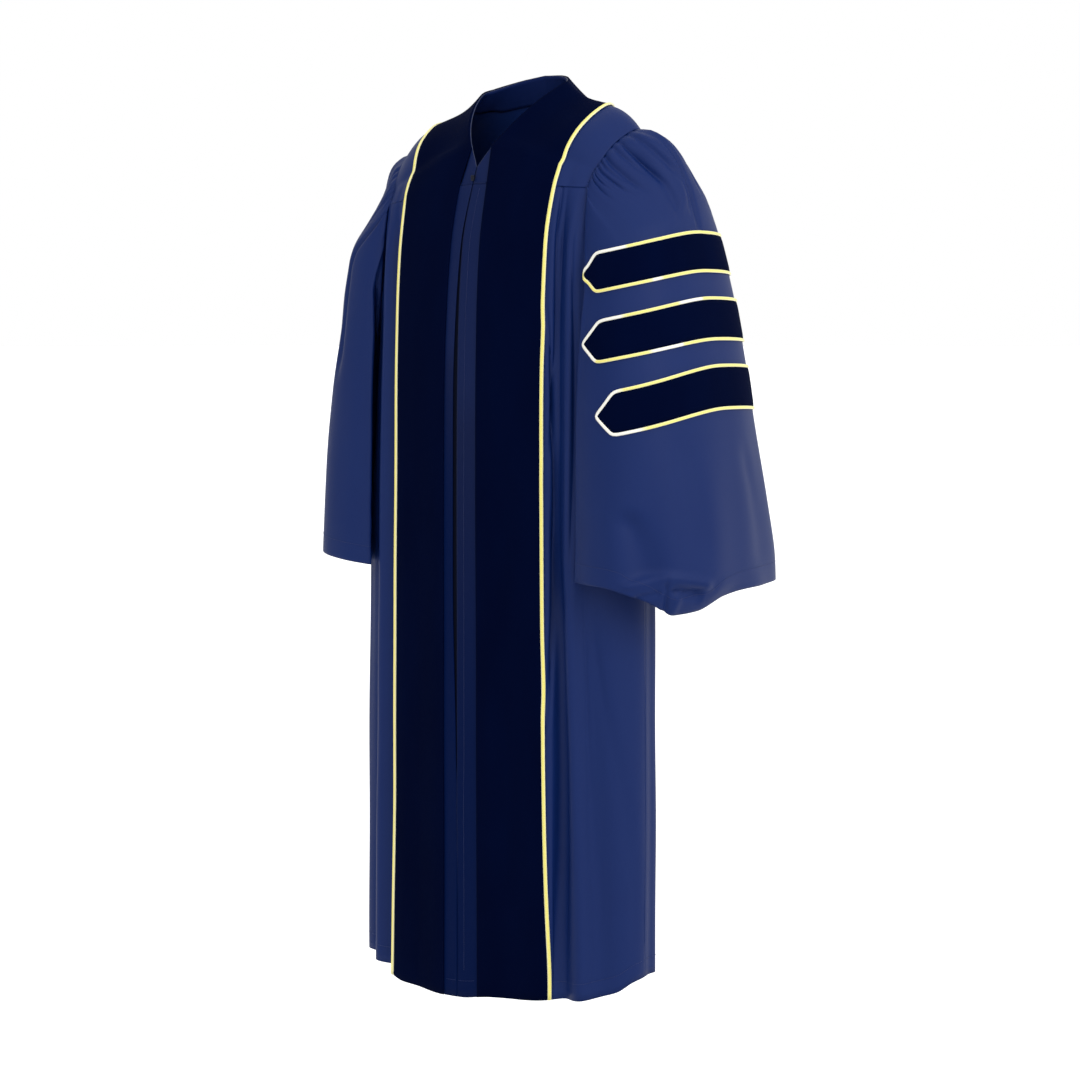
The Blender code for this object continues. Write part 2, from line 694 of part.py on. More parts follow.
def ring(sign, z):
    """A level section of a sleeve: outer arc from front edge to back edge, and where it leaves the body."""
    key = (sign, round(z, 5))
    if key in _rings:
        return _rings[key]
    centre_x, centre_y, half_x, front_reach, back_reach, square = read(SLEEVE_ROWS, z)
    width, front, back, body_y, body_square = read(BODY_ROWS, z)
    if sign == -1:
        half_x *= float(read(RIGHT_WIDTH_ROWS, z)[0])
    turn = np.linspace(-math.pi, math.pi, 721)
    power = 2 / square
    x = centre_x + half_x * np.sign(np.cos(turn)) * np.abs(np.cos(turn)) ** power
    reach = np.where(turn < 0, front_reach, back_reach)
    y = centre_y + reach * np.sign(np.sin(turn)) * np.abs(np.sin(turn)) ** power
    depth = np.where(y < body_y, body_y - front, back - body_y) + EDGE_AWAY
    inside = (np.abs(x) / (width + EDGE_AWAY)) ** body_square + (np.abs(y - body_y) / depth) ** body_square < 1
    first = 360
    while first > 60 and not inside[first - 1]:
        first -= 1
    last = 360
    while last < 660 and not inside[last + 1]:
        last += 1
    arc = np.stack([x[first:last + 1], y[first:last + 1]], 1)
    run = np.concatenate([[0], np.cumsum(np.linalg.norm(np.diff(arc, axis=0), axis=1))])
    middle = run[360 - first]
    points, body_run = section(z)
    ends = []
    for corner in (arc[0], arc[-1]):
        near = int(np.argmin(np.linalg.norm(points - corner, axis=1)))
        ends.append(float(body_run[near]))
    _rings[key] = (arc, run, middle, ends)
    return _rings[key]


def outer_point(sign, turn, z):
    arc, run, middle, _ = ring(sign, z)
    at = middle * (1 + turn) if turn < 0 else middle + (run[-1] - middle) * turn
    return np.array([np.interp(at, run, arc[:, 0]), np.interp(at, run, arc[:, 1]), z])


def armhole_front(sign, t):
    """The sleeve's start beside the armhole, from the shoulder tip (0) down the front to the underarm (1)."""
    return armhole(sign, t, YOKE_TIP_STEP, 0.0, CORNER_S, side_s(SEAM_SECTION_Z) - 0.0006)


def armhole_back(sign, t):
    whole = back_s(SEAM_SECTION_Z)
    return armhole(sign, t, YOKE_TIP_STEP, YOKE_BACK_STEP, whole - BACK_CORNER_S, side_s(SEAM_SECTION_Z) + 0.0006)


def armhole(sign, t, step_top, step_low, s_corner, s_side):
    if t < ARMHOLE_YOKE_SHARE:
        step = step_top + (step_low - step_top) * t / ARMHOLE_YOKE_SHARE
        edge, near = yoke_point(step, 1.0), yoke_point(step, 0.92)
        away = (edge - near) / np.linalg.norm(edge - near)
        return edge + away * ARMHOLE_GAP, None
    angle = (t - ARMHOLE_YOKE_SHARE) / (1 - ARMHOLE_YOKE_SHARE) * math.pi / 2
    s = s_corner + (s_side - s_corner) * (1 - max(math.cos(angle), 0.0) ** 0.5)
    z = seam_z(s)
    return beside(sign, s, z, START_AWAY), s


def sleeve_column(sign, c):
    """What one column of the sleeve's grid follows: its turn, or its share of the inner arc, and its armhole point."""
    if c <= SLEEVE_OUTER:
        turn = turn_of(c)
        follow = armhole_front if turn < 0 else armhole_back
        start = follow(sign, abs(turn) * ARMHOLE_SPLIT)
        return turn, None, start[0], start[1]
    share = (c - SLEEVE_OUTER) / (SLEEVE_INNER + 1)
    if share < 0.5:
        point, s = armhole_back(sign, ARMHOLE_SPLIT + (1 - ARMHOLE_SPLIT) * share * 2)
    else:
        point, s = armhole_front(sign, ARMHOLE_SPLIT + (1 - ARMHOLE_SPLIT) * (1 - share) * 2)
    return None, share, point, s


def cuff_z(sign, turn):
    if turn is None:
        return CUFF_INNER_Z
    return float(read(CUFF_ROWS["left" if sign == 1 else "right"], turn)[0])


def sleeve_point(sign, c, z):
    """A point of a sleeve's grid column c at height z, in the left sleeve's own sense."""
    turn, share, start, start_s = sleeve_column(sign, c)
    down = max(start[2] - z, 0.0)
    if turn is not None:
        point = outer_point(sign, turn, z)
        fix = start - outer_point(sign, turn, start[2])
        point = point + fix * (1 - ramp(down / HEAD_BLEND))
        away = point - np.array([0.205, -0.03, z])
        away /= np.linalg.norm(away)
        gather = (1 if c % 2 else -1) * GATHER_DEPTH * (1 - ramp((abs(turn) - 0.50) / 0.25))
        gather *= (0.25 + 0.75 * ramp(down / 0.02)) * (1 - ramp((down - 0.03) / 0.10))
        point = point + away * gather
        for at, width, depth, z_from, z_full in SLEEVE_FOLDS:
            amount = depth * math.exp(-(((turn - at) / width) ** 2)) * ramp((z_from - z) / (z_from - z_full))
            point = point + away * amount
        roll = ROLL_IN * ramp((ROLL_FROM_Z - z) / 0.050)
        roll *= ramp((turn + 0.85) / 0.25) * (1 - ramp((turn + 0.10) / 0.25))
        return point - away * roll
    ends = ring(sign, z)[3]
    first, last = ends[0] + EDGE_TURN, ends[1] - EDGE_TURN
    s = last + (first - last) * share
    start_ends = ring(sign, start[2])[3]
    at_start = start_ends[1] - EDGE_TURN + (start_ends[0] - start_ends[1] + 2 * EDGE_TURN) * share
    fade = 1 - ramp(down / HEAD_BLEND)
    s += (start_s - at_start) * fade
    nose = NOSE_AWAY * max(0.0, 1 - min(share, 1 - share) * (SLEEVE_INNER + 1) / 1.6)
    away = SLEEVE_CLEARANCE + nose
    away += (START_AWAY - SLEEVE_CLEARANCE - nose) * (1 - ramp(down / 0.04))
    return beside(sign, s, z, away)


def sleeve_span(sign, c):
    turn, _, start, _ = sleeve_column(sign, c)
    return float(start[2]), cuff_z(sign, turn)


def sleeve_levels(sign, c):
    """The heights of one sleeve column's points: its rows follow the edges of the bars."""
    turn = turn_of(c) if c <= SLEEVE_OUTER else -1.0
    start, low = sleeve_span(sign, c if c <= SLEEVE_OUTER else 0)
    edges = []
    for bar in BARS:
        centre = bar_centre(bar, turn)
        edges += [centre + bar[5] / 2, centre - bar[5] / 2]
    levels = [start + (edges[0] - start) * share for share in HEAD_SHARES] + edges
    levels += [edges[-1] + (low - edges[-1]) * share for share in CUFF_SHARES]
    if c > SLEEVE_OUTER:
        top, bottom = sleeve_span(sign, c)
        levels = [top + (bottom - top) * (z - start) / (low - start) for z in levels]
    return levels


def sleeve_grid(sign):
    if sign not in _sleeves:
        count = SLEEVE_OUTER + SLEEVE_INNER + 1
        rows = len(sleeve_levels(sign, 0))
        grid = np.zeros((rows, count, 3))
        for c in range(count):
            for r, z in enumerate(sleeve_levels(sign, c)):
                grid[r, c] = sleeve_point(sign, c, z)
            grid[0, c] = sleeve_column(sign, c)[2]
        _sleeves[sign] = grid
    return _sleeves[sign]


def column_of(turn):
    """The grid column, as a real number, where the outer cloth has this turn."""
    columns = np.arange(SLEEVE_OUTER + 1)
    return float(np.interp(turn, turn_of(columns), columns))


def turn_of(column):
    """How far round the outer cloth a grid column lies: -1 at the front edge, 0 outermost, 1 at the back edge."""
    w = 2 * column / SLEEVE_OUTER - 1
    return w * (COLUMN_EVEN + (1 - COLUMN_EVEN) * w * w)


def on_sleeve(sign, column, z):
    """A point on a sleeve's own facets, between two of its grid columns, and its outward direction."""
    grid = sleeve_grid(sign)

    def down_column(c, height):
        line = grid[::-1, c]
        return np.array([np.interp(height, line[:, 2], line[:, k]) for k in range(3)])

    a = min(max(int(column), 0), SLEEVE_OUTER - 1)
    t = column - a

    def at(height):
        return down_column(a, height) * (1 - t) + down_column(a + 1, height) * t

    b, e = a, a + 1
    if abs(t) < 0.02 and a > 0:
        b = a - 1
    along = down_column(e, z) - down_column(b, z)
    down = at(z - 0.006) - at(z + 0.006)
    out = np.cross(down, along)
    out /= np.linalg.norm(out)
    return at(z), out


def bar_centre(bar, turn):
    z_front, z_middle, z_back, front_turn = bar[1:5]
    if turn < 0:
        return z_middle + (z_front - z_middle) * (turn / front_turn) ** 2
    return z_middle + (z_back - z_middle) * (turn / BAR_BACK_TURN) ** 2


def bar_stations(sign, bar):
    """Columns where a bar has points, with its half height at each."""
    first, last = column_of(bar[4] if sign == 1 else RIGHT_BAR_TURN), column_of(BAR_BACK_TURN)
    columns = [first] + [c for c in range(SLEEVE_OUTER + 1) if first + 0.15 < c < last - 0.15] + [last]
    ends = []
    for end, way in ((first, 1), (last, -1)):
        z = bar_centre(bar, turn_of(end))
        here = on_sleeve(sign, end, z)[0]
        there = on_sleeve(sign, end + way, z)[0]
        ends.append(BAR_POINT / float(np.linalg.norm(here - there)))
    corners = [first + ends[0], last - ends[1]]
    columns = [c for c in columns if min(abs(c - k) for k in corners) > 0.12] + corners
    found = []
    for column in sorted(columns):
        share = min((column - first) / ends[0], (last - column) / ends[1], 1.0)
        found.append((column, max(share, 0.0) * bar[5] / 2))
    return found


def bar_grid(sign, bar):
    stations = bar_stations(sign, bar)
    grid = np.zeros((2, len(stations), 3))
    for c, (column, half) in enumerate(stations):
        centre = bar_centre(bar, turn_of(column))
        for r, level in enumerate((1, -1)):
            point, out = on_sleeve(sign, column, centre + level * half)
            grid[r, c] = (point + out * BAR_AWAY) * (sign, 1, 1)
    return grid


def bar_outline(sign, bar):
    """The loop round a bar where its piping lies: centres on the cloth, directions away from the bar, and outward."""
    stations = bar_stations(sign, bar)
    clear = BAR_PIPING_WIDTH / 2 + SEAM_GAP + 0.0003
    middle = (stations[0][0] + stations[-1][0]) / 2
    path = []
    for level, order in ((1, stations[1:-1]), (-1, stations[-2:0:-1])):
        end = stations[0][0] if level == 1 else stations[-1][0]
        way = -level
        z = bar_centre(bar, turn_of(end))
        spacing = float(np.linalg.norm(on_sleeve(sign, end, z)[0] - on_sleeve(sign, end - way, z)[0]))
        path.append((end + way * clear * 1.5 / spacing, z, BAR_TIP_LIFT))
        sloping = [column for column, half in stations if half < bar[5] / 2 - 1e-6]
        for column, half in order:
            full = half > bar[5] / 2 - 1e-6
            beside_point = full and min(abs(column - k) for k in sloping) < 1.3
            shift = math.copysign(clear * 0.4 / spacing, column - middle) if beside_point else 0.0
            away = half + clear * (1.0 if full else 1.6) + (CORNER_CLEAR if beside_point else 0.0)
            lift = 0.0 if full and not beside_point else BAR_TIP_LIFT
            path.append((column + shift, bar_centre(bar, turn_of(column)) + level * away, lift))
    centres, out = [], []
    for column, z, lift in path:
        point, way_out = on_sleeve(sign, column, z)
        centres.append((point + way_out * (BAR_PIPING_AWAY + lift)) * (sign, 1, 1))
        out.append(way_out * (sign, 1, 1))
    across = []
    for i, point in enumerate(centres):
        along = centres[(i + 1) % len(centres)] - centres[i - 1]
        side = np.cross(along, out[i])
        across.append(side / np.linalg.norm(side))
    return centres, across, out


# Velvet, piping, facing and zip

def band_grid(side, front, yoke):
    """A velvet band from the centre back over the shoulder and down the front to the hem."""
    sign = 1 if side == "left" else -1
    upper = yoke[::-1, :5] + out_of(yoke)[::-1, :5] * BAND_AWAY
    upper[0, :, 0] = sign * SEAM_GAP
    lower = front[:, 2:7] + out_of(front)[:, 2:7] * BAND_AWAY
    return np.concatenate([upper[:-1], (upper[-1:] + lower[:1]) / 2, lower[1:]])


def band_piping(side, front, yoke):
    """Centres, sideways and outward directions of the piping beside a band."""
    sign = 1 if side == "left" else -1
    share = (PIPING_WIDTH / 2 + SEAM_GAP) / BEYOND_BAND
    centres, across, out = [], [], []
    for grid, first, second in ((front[::-1], 6, 7), (yoke, 4, 5)):
        away = out_of(grid)
        for r in range(len(grid)):
            if grid is yoke and r == 0:
                continue
            up = away[r, first] + away[r, second]
            up /= np.linalg.norm(up)
            side_way = grid[r, second] - grid[r, first]
            side_way /= np.linalg.norm(side_way)
            centre = grid[r, first] * (1 - share) + grid[r, second] * share
            centres.append(centre + up * BAND_PIPING_AWAY)
            across.append(side_way)
            out.append(up)
    centres[-1][0] = sign * SEAM_GAP
    return centres, across, out


def facing_grid(left_yoke, right_yoke):
    """The facing inside the back neck, round from one side of the neck to the other."""
    first = YOKE_STEPS - FACING_STEPS
    left = left_yoke[first:, :3] - out_of(left_yoke)[first:, :3] * FACING_AWAY
    right = right_yoke[first:, :3] - out_of(right_yoke)[first:, :3] * FACING_AWAY
    middle = (left[-1:] + right[-1:]) / 2
    return np.concatenate([left[:-1], middle, right[-2::-1]])


def zip_grid(left, right):
    """The zip's tape, behind the closed edges of the two fronts."""
    rows = [r for r in range(FRONT_ROWS) if left[r, 0, 2] > ZIP_END_Z]
    behind = []
    for grid in (right, left):
        inside = grid - out_of(grid) * FACING_AWAY
        share = ZIP_HALF_WIDTH / float(np.linalg.norm(grid[5, 1] - grid[5, 0]))
        behind.append((inside[rows, 0], inside[rows, 0] * (1 - share) + inside[rows, 1] * share))
    return np.stack([behind[0][1], behind[0][0], behind[1][0], behind[1][1]], 1)


def add_slider():
    z = SLIDER_Z
    wide, deep, high = SLIDER_SIZE
    y = float(neck(0.0)[1]) + (float(on_body(0.0, FRONT_SEAM_Z)[0][1]) - float(neck(0.0)[1])) * 0.75
    middle = (float(read(OPENING_ROWS, z)[0]), y - WALL / 2 - SEAM_GAP - deep / 2 - 0.0004, z)
    bpy.ops.mesh.primitive_cube_add(size=1, location=middle)
    made = bpy.context.object
    made.name = "zip_slider"
    made.data.name = "zip_slider"
    for point in made.data.vertices:
        point.co.x *= wide * (1.0 if point.co.z > 0 else 0.72)
        point.co.y *= deep
        point.co.z *= high
    bevel = made.modifiers.new("Rounded edges", "BEVEL")
    bevel.width = 0.0009
    bevel.segments = 2
    for collection in list(made.users_collection):
        collection.objects.unlink(made)
    GOWN.objects.link(made)
    made.data.materials.append(material("slider_metal"))


def main():
    grids = {}
    for side, sign in (("left", 1), ("right", -1)):
        grids[side] = (front_grid(side), yoke_grid(sign))
        sheet("front_" + side, grids[side][0], "gown_cloth", WALL)
        sheet("band_" + side, band_grid(side, *grids[side]), "velvet", VELVET)
        centres, across, out = band_piping(side, *grids[side])
        swept("band_piping_" + side, centres, across, out, PIPING_WIDTH, PIPING_HEIGHT, "piping_satin")
        sheet("sleeve_" + side, sleeve_grid(sign) * (sign, 1, 1), "gown_cloth", WALL, closed=True)
        for bar in BARS:
            sheet(f"bar_{bar[0]}_{side}", bar_grid(sign, bar), "velvet", VELVET)
            centres, across, out = bar_outline(sign, bar)
            swept(
                f"bar_piping_{bar[0]}_{side}", centres, across, out,
                BAR_PIPING_WIDTH, BAR_PIPING_HEIGHT, "piping_satin", closed=True,
            )
    sheet("back", back_grid(), "gown_cloth", WALL)

    points, faces = [], []
    for side, sign in (("left", 1), ("right", -1)):
        grid = grids[side][1]
        rows, columns = grid.shape[:2]
        found = grid_faces(rows, columns, start=len(points))
        points += list(grid[::-1].reshape(-1, 3))
        strip, strip_faces = yoke_strip(side)
        found += [tuple(len(points) + k for k in reversed(face)) for face in strip_faces]
        points += strip
        faces += found if sign == -1 else [tuple(reversed(face)) for face in found]
    add_mesh("yoke", points, faces, "gown_cloth", WALL)

    facing = facing_grid(grids["left"][1], grids["right"][1])
    sheet("neck_facing", facing, "neck_facing_cloth", FACING_WALL, turned=FACING_STEPS - 1)
    sheet("zip_tape", zip_grid(grids["left"][0], grids["right"][0]), "zip_tape_cloth", FACING_WALL)
    add_slider()


for old in list(bpy.data.objects):
    bpy.data.objects.remove(old)
GOWN = bpy.data.collections.new("graduation_gown")
bpy.context.scene.collection.children.link(GOWN)
main()
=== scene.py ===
"""Looks of the doctoral graduation gown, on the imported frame.

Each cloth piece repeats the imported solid's own surface on a finer grid, with the folds, gathers, creases,
seams and stitches that are too fine for a solid. Metres, +Z up, the front faces -Y, the nape is the origin.
"""

import math

import bpy
import numpy as np
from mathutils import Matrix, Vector


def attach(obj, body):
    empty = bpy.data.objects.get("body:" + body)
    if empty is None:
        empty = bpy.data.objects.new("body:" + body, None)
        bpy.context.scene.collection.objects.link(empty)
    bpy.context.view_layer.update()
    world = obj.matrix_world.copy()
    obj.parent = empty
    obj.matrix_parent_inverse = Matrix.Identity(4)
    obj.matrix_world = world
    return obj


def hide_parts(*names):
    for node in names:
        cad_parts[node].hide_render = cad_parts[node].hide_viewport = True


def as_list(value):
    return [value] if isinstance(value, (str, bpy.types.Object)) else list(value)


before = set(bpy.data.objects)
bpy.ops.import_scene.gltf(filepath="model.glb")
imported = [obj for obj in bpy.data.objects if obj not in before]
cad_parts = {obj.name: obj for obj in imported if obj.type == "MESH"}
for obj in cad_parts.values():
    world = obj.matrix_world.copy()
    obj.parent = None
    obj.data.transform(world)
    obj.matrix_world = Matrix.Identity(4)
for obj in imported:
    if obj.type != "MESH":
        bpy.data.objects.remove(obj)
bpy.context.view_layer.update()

# By side: the sign of x, and the name for whether a place lies on the wearer's left
SIGNS = {"left": 1, "right": -1}
SIDE_OF = {True: "left", False: "right"}

# Sizes of the cloth, the same as the solids'
WALL = 0.0014             # shell cloth with its seam allowances
VELVET = 0.0016
SEAM_GAP = 0.0004         # between stacked layers and between pieces that a seam joins
SLEEVE_CLEARANCE = 0.0092  # between a sleeve and the side of the body

# Heights
HEM_Z = -1.290
FRONT_SEAM_Z = -0.158     # front yoke seam at the centre
FRONT_SEAM_DROP = 0.009   # how much lower it is at the armhole
BACK_SEAM_Z = -0.156
UNDERARM_Z = -0.345
CORNER_DROP_BACK = 0.004  # how much lower the back seam is at the armhole
SEAM_SECTION_Z = -0.160   # the section on which the seams' and armholes' lengths are measured
ZIP_END_Z = -1.270

# The right shoulder's drop for each metre from the centre, in full above one height and gone below the other
RIGHT_SLOPE = 0.085
SLOPE_FULL_Z = -0.120
SLOPE_END_Z = -0.420

# Front opening and velvet bands, measured along the cloth from the centre front
CORNER_S = 0.1850         # centre front to the armhole corner of the yoke seam
BACK_CORNER_S = 0.1720    # centre back to the armhole corner of the back yoke seam
BAND_PIPING_SIZE = (0.0056, 0.0036)   # wide, high
BAR_PIPING_SIZE = (0.0046, 0.0030)

OPENING_ROWS = (
    # z, s of the closed edges, to the wearer's right of the centre front, and the gap between them
    (-0.134, 0.0, 0.002), (-0.158, -0.0015, 0.002), (-0.2, -0.005, 0.0024), (-0.25, -0.007, 0.0026),
    (-0.98, -0.007, 0.0026), (-1.06, -0.007, 0.001), (-1.31, -0.007, 0.001),
)

HEM_ROWS = (
    # s from the centre front, z
    (-0.6, -1.276), (-0.3, -1.28), (-0.24, -1.282), (-0.17, -1.29), (-0.13, -1.304), (-0.045, -1.305),
    (0.0, -1.303), (0.05, -1.294), (0.1, -1.29), (0.14, -1.286), (0.2, -1.28), (0.24, -1.271), (0.27, -1.256),
    (0.3, -1.252), (0.6, -1.276),
)

BAND_ROWS = (
    # z, inner_s, outer_s, both sides of the centre front alike
    (-0.158, 0.025, 0.1325), (-0.236, 0.0265, 0.13), (-0.456, 0.029, 0.1305), (-0.735, 0.03, 0.133),
    (-1.013, 0.0305, 0.136), (-1.3, 0.031, 0.144),
)

# The body's horizontal sections: flat rounded ovals
BODY_ROWS = (
    # z, half_width, front_y, back_y, centre_y, squareness
    (-0.15, 0.224, -0.155, 0.03, -0.06, 2.6), (-0.24, 0.222, -0.174, 0.037, -0.068, 2.45),
    (-0.34, 0.223, -0.183, 0.037, -0.074, 2.25), (-0.46, 0.232, -0.187, 0.033, -0.08, 2.1),
    (-0.7, 0.241, -0.189, 0.026, -0.083, 2.05), (-1.0, 0.245, -0.189, 0.022, -0.084, 2.05),
    (-1.3, 0.246, -0.19, 0.022, -0.086, 2.05),
)

# Folds and pleats in the fronts. s is measured from the centre front, a depth below 0 is a trough.
FRONT_FOLDS = {
    "left": (
        # s_seam, s_thigh, s_hem, width_seam, width_hem, depth_top, depth_low, z_from
        (0.154, 0.157, 0.168, 0.006, 0.012, -0.011, -0.011, -0.15),
        (0.172, 0.176, 0.193, 0.008, 0.014, 0.005, 0.006, -0.15),
        (0.2, 0.205, 0.225, 0.012, 0.018, -0.004, -0.005, -0.3),
        (0.07, 0.076, 0.084, 0.024, 0.026, -0.0018, -0.0034, -0.5),
    ),
    "right": (
        (0.152, 0.15, 0.162, 0.006, 0.012, -0.0095, -0.0115, -0.15),
        (0.17, 0.176, 0.188, 0.008, 0.012, 0.005, 0.008, -0.15),
        (0.19, 0.203, 0.214, 0.009, 0.011, -0.005, -0.008, -0.22),
        (0.23, 0.238, 0.24, 0.01, 0.012, 0.003, 0.006, -0.5),
        (0.076, 0.082, 0.086, 0.024, 0.026, -0.0015, -0.004, -0.5),
    ),
}

# Flutes that fall from the back yoke seam, each one a trough between two ridges
BACK_FLUTES = 13
FLUTE_DEPTH_ROWS = (
    # z, depth
    (-0.156, 0.0012), (-0.2, 0.0038), (-0.32, 0.0062), (-0.7, 0.0078), (-1.3, 0.0105),
)

# Neckline, from the top of the opening round to the nape
NECK_ROWS = (
    # step, x, y, z
    (0.0, 0.0, -0.15, -0.1345), (0.22, 0.02, -0.137, -0.104), (0.42, 0.0377, -0.119, -0.077),
    (0.6, 0.057, -0.088, -0.045), (0.74, 0.072, -0.047, -0.018), (0.82, 0.064, -0.03, -0.012),
    (0.88, 0.051, -0.015, -0.0065), (0.94, 0.027, -0.004, -0.0016), (1.0, 0.0, 0.0, 0.0),
)
BAND_MEETS_NECK = 0.20    # the step where the band's inner edge reaches the neckline

# The yoke over the shoulder: each row is a line from the neck side out to the outer edge
YOKE_ROWS = (
    # step, neck_step, outer_x, outer_y, outer_z, band_share, bulge
    (0.1, 0.2, 0.1815, -0.122, -0.15, 0.69, 0.002), (0.28, 0.34, 0.186, -0.112, -0.133, 0.662, 0.004),
    (0.4, 0.54, 0.195, -0.088, -0.105, 0.626, 0.005), (0.52, 0.72, 0.204, -0.052, -0.087, 0.57, 0.0045),
    (0.64, 0.82, 0.199, -0.02, -0.106, 0.52, 0.002), (0.71, 0.87, 0.191, -0.003, -0.129, 0.49, 0.0045),
)
NECK_TOP_Z = -0.1340      # the neckline's lowest point, at the opening
NECK_HOLLOW = 0.0065      # the shoulder line dips beside the neck and rises before the tip
YOKE_FRONT_STEP = 0.10    # where the yoke's inner edge leaves the band strip for the neckline
YOKE_BACK_STEP = 0.78     # the line that ends in the back corner

# Sleeve sections, measured across the gown
SLEEVE_ROWS = (
    # z, centre_x, centre_y, half_x, front_reach, back_reach, squareness
    (-0.085, 0.195, -0.05, 0.01, 0.02, 0.02, 2.0), (-0.1, 0.195, -0.046, 0.044, 0.046, 0.042, 2.0),
    (-0.13, 0.195, -0.038, 0.067, 0.076, 0.068, 2.1), (-0.18, 0.198, -0.032, 0.082, 0.104, 0.092, 2.2),
    (-0.235, 0.206, -0.029, 0.086, 0.12, 0.108, 2.3), (-0.34, 0.216, -0.024, 0.095, 0.136, 0.124, 2.4),
    (-0.455, 0.228, -0.0195, 0.099, 0.152, 0.138, 2.4), (-0.7, 0.241, -0.0055, 0.106, 0.177, 0.17, 2.4),
    (-0.76, 0.241, -0.005, 0.106, 0.179, 0.172, 2.4),
)
RIGHT_WIDTH_ROWS = (
    # z, the right sleeve's width beside the left one's: it hangs closer to the body
    (-0.1, 1.06), (-0.2, 1.01), (-0.3, 0.94), (-0.45, 0.88), (-0.7, 0.93),
)
CUFF_ROWS = {
    # turn round the outer cloth from the front edge (-1) by the outermost point (0) to the back edge (1), z
    "left": (
        (-1.0, -0.698), (-0.8, -0.7), (-0.58, -0.718), (-0.42, -0.738), (-0.28, -0.7345), (-0.12, -0.717),
        (0.1, -0.711), (0.4, -0.711), (0.6, -0.708), (1.0, -0.698),
    ),
    "right": (
        (-1.0, -0.7), (-0.6, -0.684), (-0.2, -0.658), (0.2, -0.654), (0.6, -0.674), (1.0, -0.695),
    ),
}

# Velvet bars round the outside of each sleeve
BARS = (
    # name, z at the front tip, z at the outermost point, z at the back tip, turn of the front tip, height
    ("upper", -0.285, -0.253, -0.274, -1.005, 0.0465),
    ("middle", -0.377, -0.343, -0.366, -0.948, 0.0495),
    ("lower", -0.472, -0.435, -0.459, -0.822, 0.052),
)
BAR_BEND = 1.2            # how early a bar's front half bends down
BAR_BACK_TURN = 0.820
RIGHT_BAR_TURN = -0.420   # on the right sleeve the bars start further round, out of the photo's sight
BAR_POINT = 0.024         # length of a bar's pointed end

# Soft troughs and ridges lower down the sleeves
SLEEVE_FOLDS = (
    # turn, width, depth, z_from, z where it is full
    (-0.55, 0.1, -0.006, -0.5, -0.68), (-0.2, 0.12, 0.004, -0.42, -0.65), (0.25, 0.1, -0.005, -0.38, -0.62),
    (0.62, 0.09, -0.008, -0.26, -0.56), (0.82, 0.08, 0.005, -0.3, -0.6),
)
GATHER_DEPTH = 0.0026
HEAD_GATHER_PITCH = 0.0105
BACK_GATHER_PITCH = 0.0135
HEAD_BLEND = 0.0850       # the height over which the sleeve's head takes up its level sections
ROLL_IN = 0.020           # the left cuff's front rolls in by this, below a height and between two turns
ROLL_FROM_Z = -0.698
ROLL_HEIGHT = 0.050
ROLL_TURNS = (-0.85, -0.10)
ROLL_FADE = 0.25
CUFF_INNER_Z = -0.6980
EDGE_AWAY = 0.0162        # where a sleeve's outer arc ends, away from the body
EDGE_TURN = 0.0020
NOSE_AWAY = 0.0040        # more room where the sleeve turns from its outer cloth to its inner
NOSE_COLUMNS = 1.6
START_HEIGHT = 0.04       # the height over which it comes away from the armhole
ARMHOLE_SPLIT = 0.565     # share of the armhole from tip to underarm that the outer arc takes
ARMHOLE_YOKE_SHARE = 0.42  # share of it that lies on the yoke
YOKE_TIP_STEP = 0.52


BEYOND_BAND = 0.0080      # flat cloth beside a band, where its piping lies
BAND_AWAY = WALL / 2 + SEAM_GAP + VELVET / 2 + 0.0001
BAR_AWAY = BAND_AWAY + 0.0004
FACING_WALL = 0.0010
FACING_AWAY = WALL / 2 + SEAM_GAP + FACING_WALL / 2 + 0.0002
ZIP_HALF_WIDTH = 0.0110

# Small distances on the cloth
TANGENT_STEP = 0.003      # half the stretch over which a section's direction is read
SIDE_LAP = 0.0004         # front and back run this far past the side seam
EDGE_LAP = 0.00015        # the opening's edges lap by twice this where it closes
UNDERARM_CLEAR = 0.0006   # the sleeve's start keeps this far from the side seam
CENTRE_CLEAR = 0.0002     # the two bands end this far from the centre back
PIPING_AWAY = WALL / 2 + 0.0003   # from the middle of the cloth's wall to the piping
PIPING_CLEAR = 0.0004     # between a bar and its piping
YOKE_CENTRE = np.array([0.0, -0.06, -0.30])   # inside the body, below the yoke
SLEEVE_AXIS = (0.205, -0.03)   # x, y inside a sleeve, from which its folds stand out
FOLD_HEIGHT = 0.10        # the height over which a fold of the fronts deepens
BAND_FADE = 0.010         # the cloth beside a band over which the folds fade
SEAM_BLEND = 0.30         # the steps of the yoke over which it takes up the folds at the front seam
BAR_EDGE_DROP = 0.0005    # a bar's long edges lie this much closer to the cloth
JOINED_WITHIN = 0.00002   # points of one piece that meet

# Finer grids than the solids'
FRONT_ROWS = 28
FRONT_COUNTS = (3, 6, 3, 9, 11)      # cells over the strip, band, piping, the rest of the front, the side
BACK_ROWS = 24
BACK_COLUMNS = 104
DOWN = 5
ACROSS = 4
BACK_ACROSS = 3
STRIP_STEPS = 5
YOKE_STEPS_FINE = 34
YOKE_COUNTS = (6, 2, 6)
YOKE_DOWN = 3
YOKE_ACROSS = 3
OUTER_COLUMNS = 70
INNER_COLUMNS = 20
SLEEVE_ROWS_FINE = 24
SLEEVE_DOWN = 4
SLEEVE_ACROSS = 4
SECTION_STEPS = 240
SLEEVE_OUTER = 28
SLEEVE_INNER = 14
RING_HALF = 360           # steps of a sleeve's section from its outermost point to its innermost
RING_REACH = 300          # and how far round the outer arc can go
BAND_COLUMNS = 32
BAR_LEVELS = 9
BAR_COUNTS = {1: (8, 76, 8), -1: (8, 56, 8)}      # cells over the point, the length and the other point, by sign
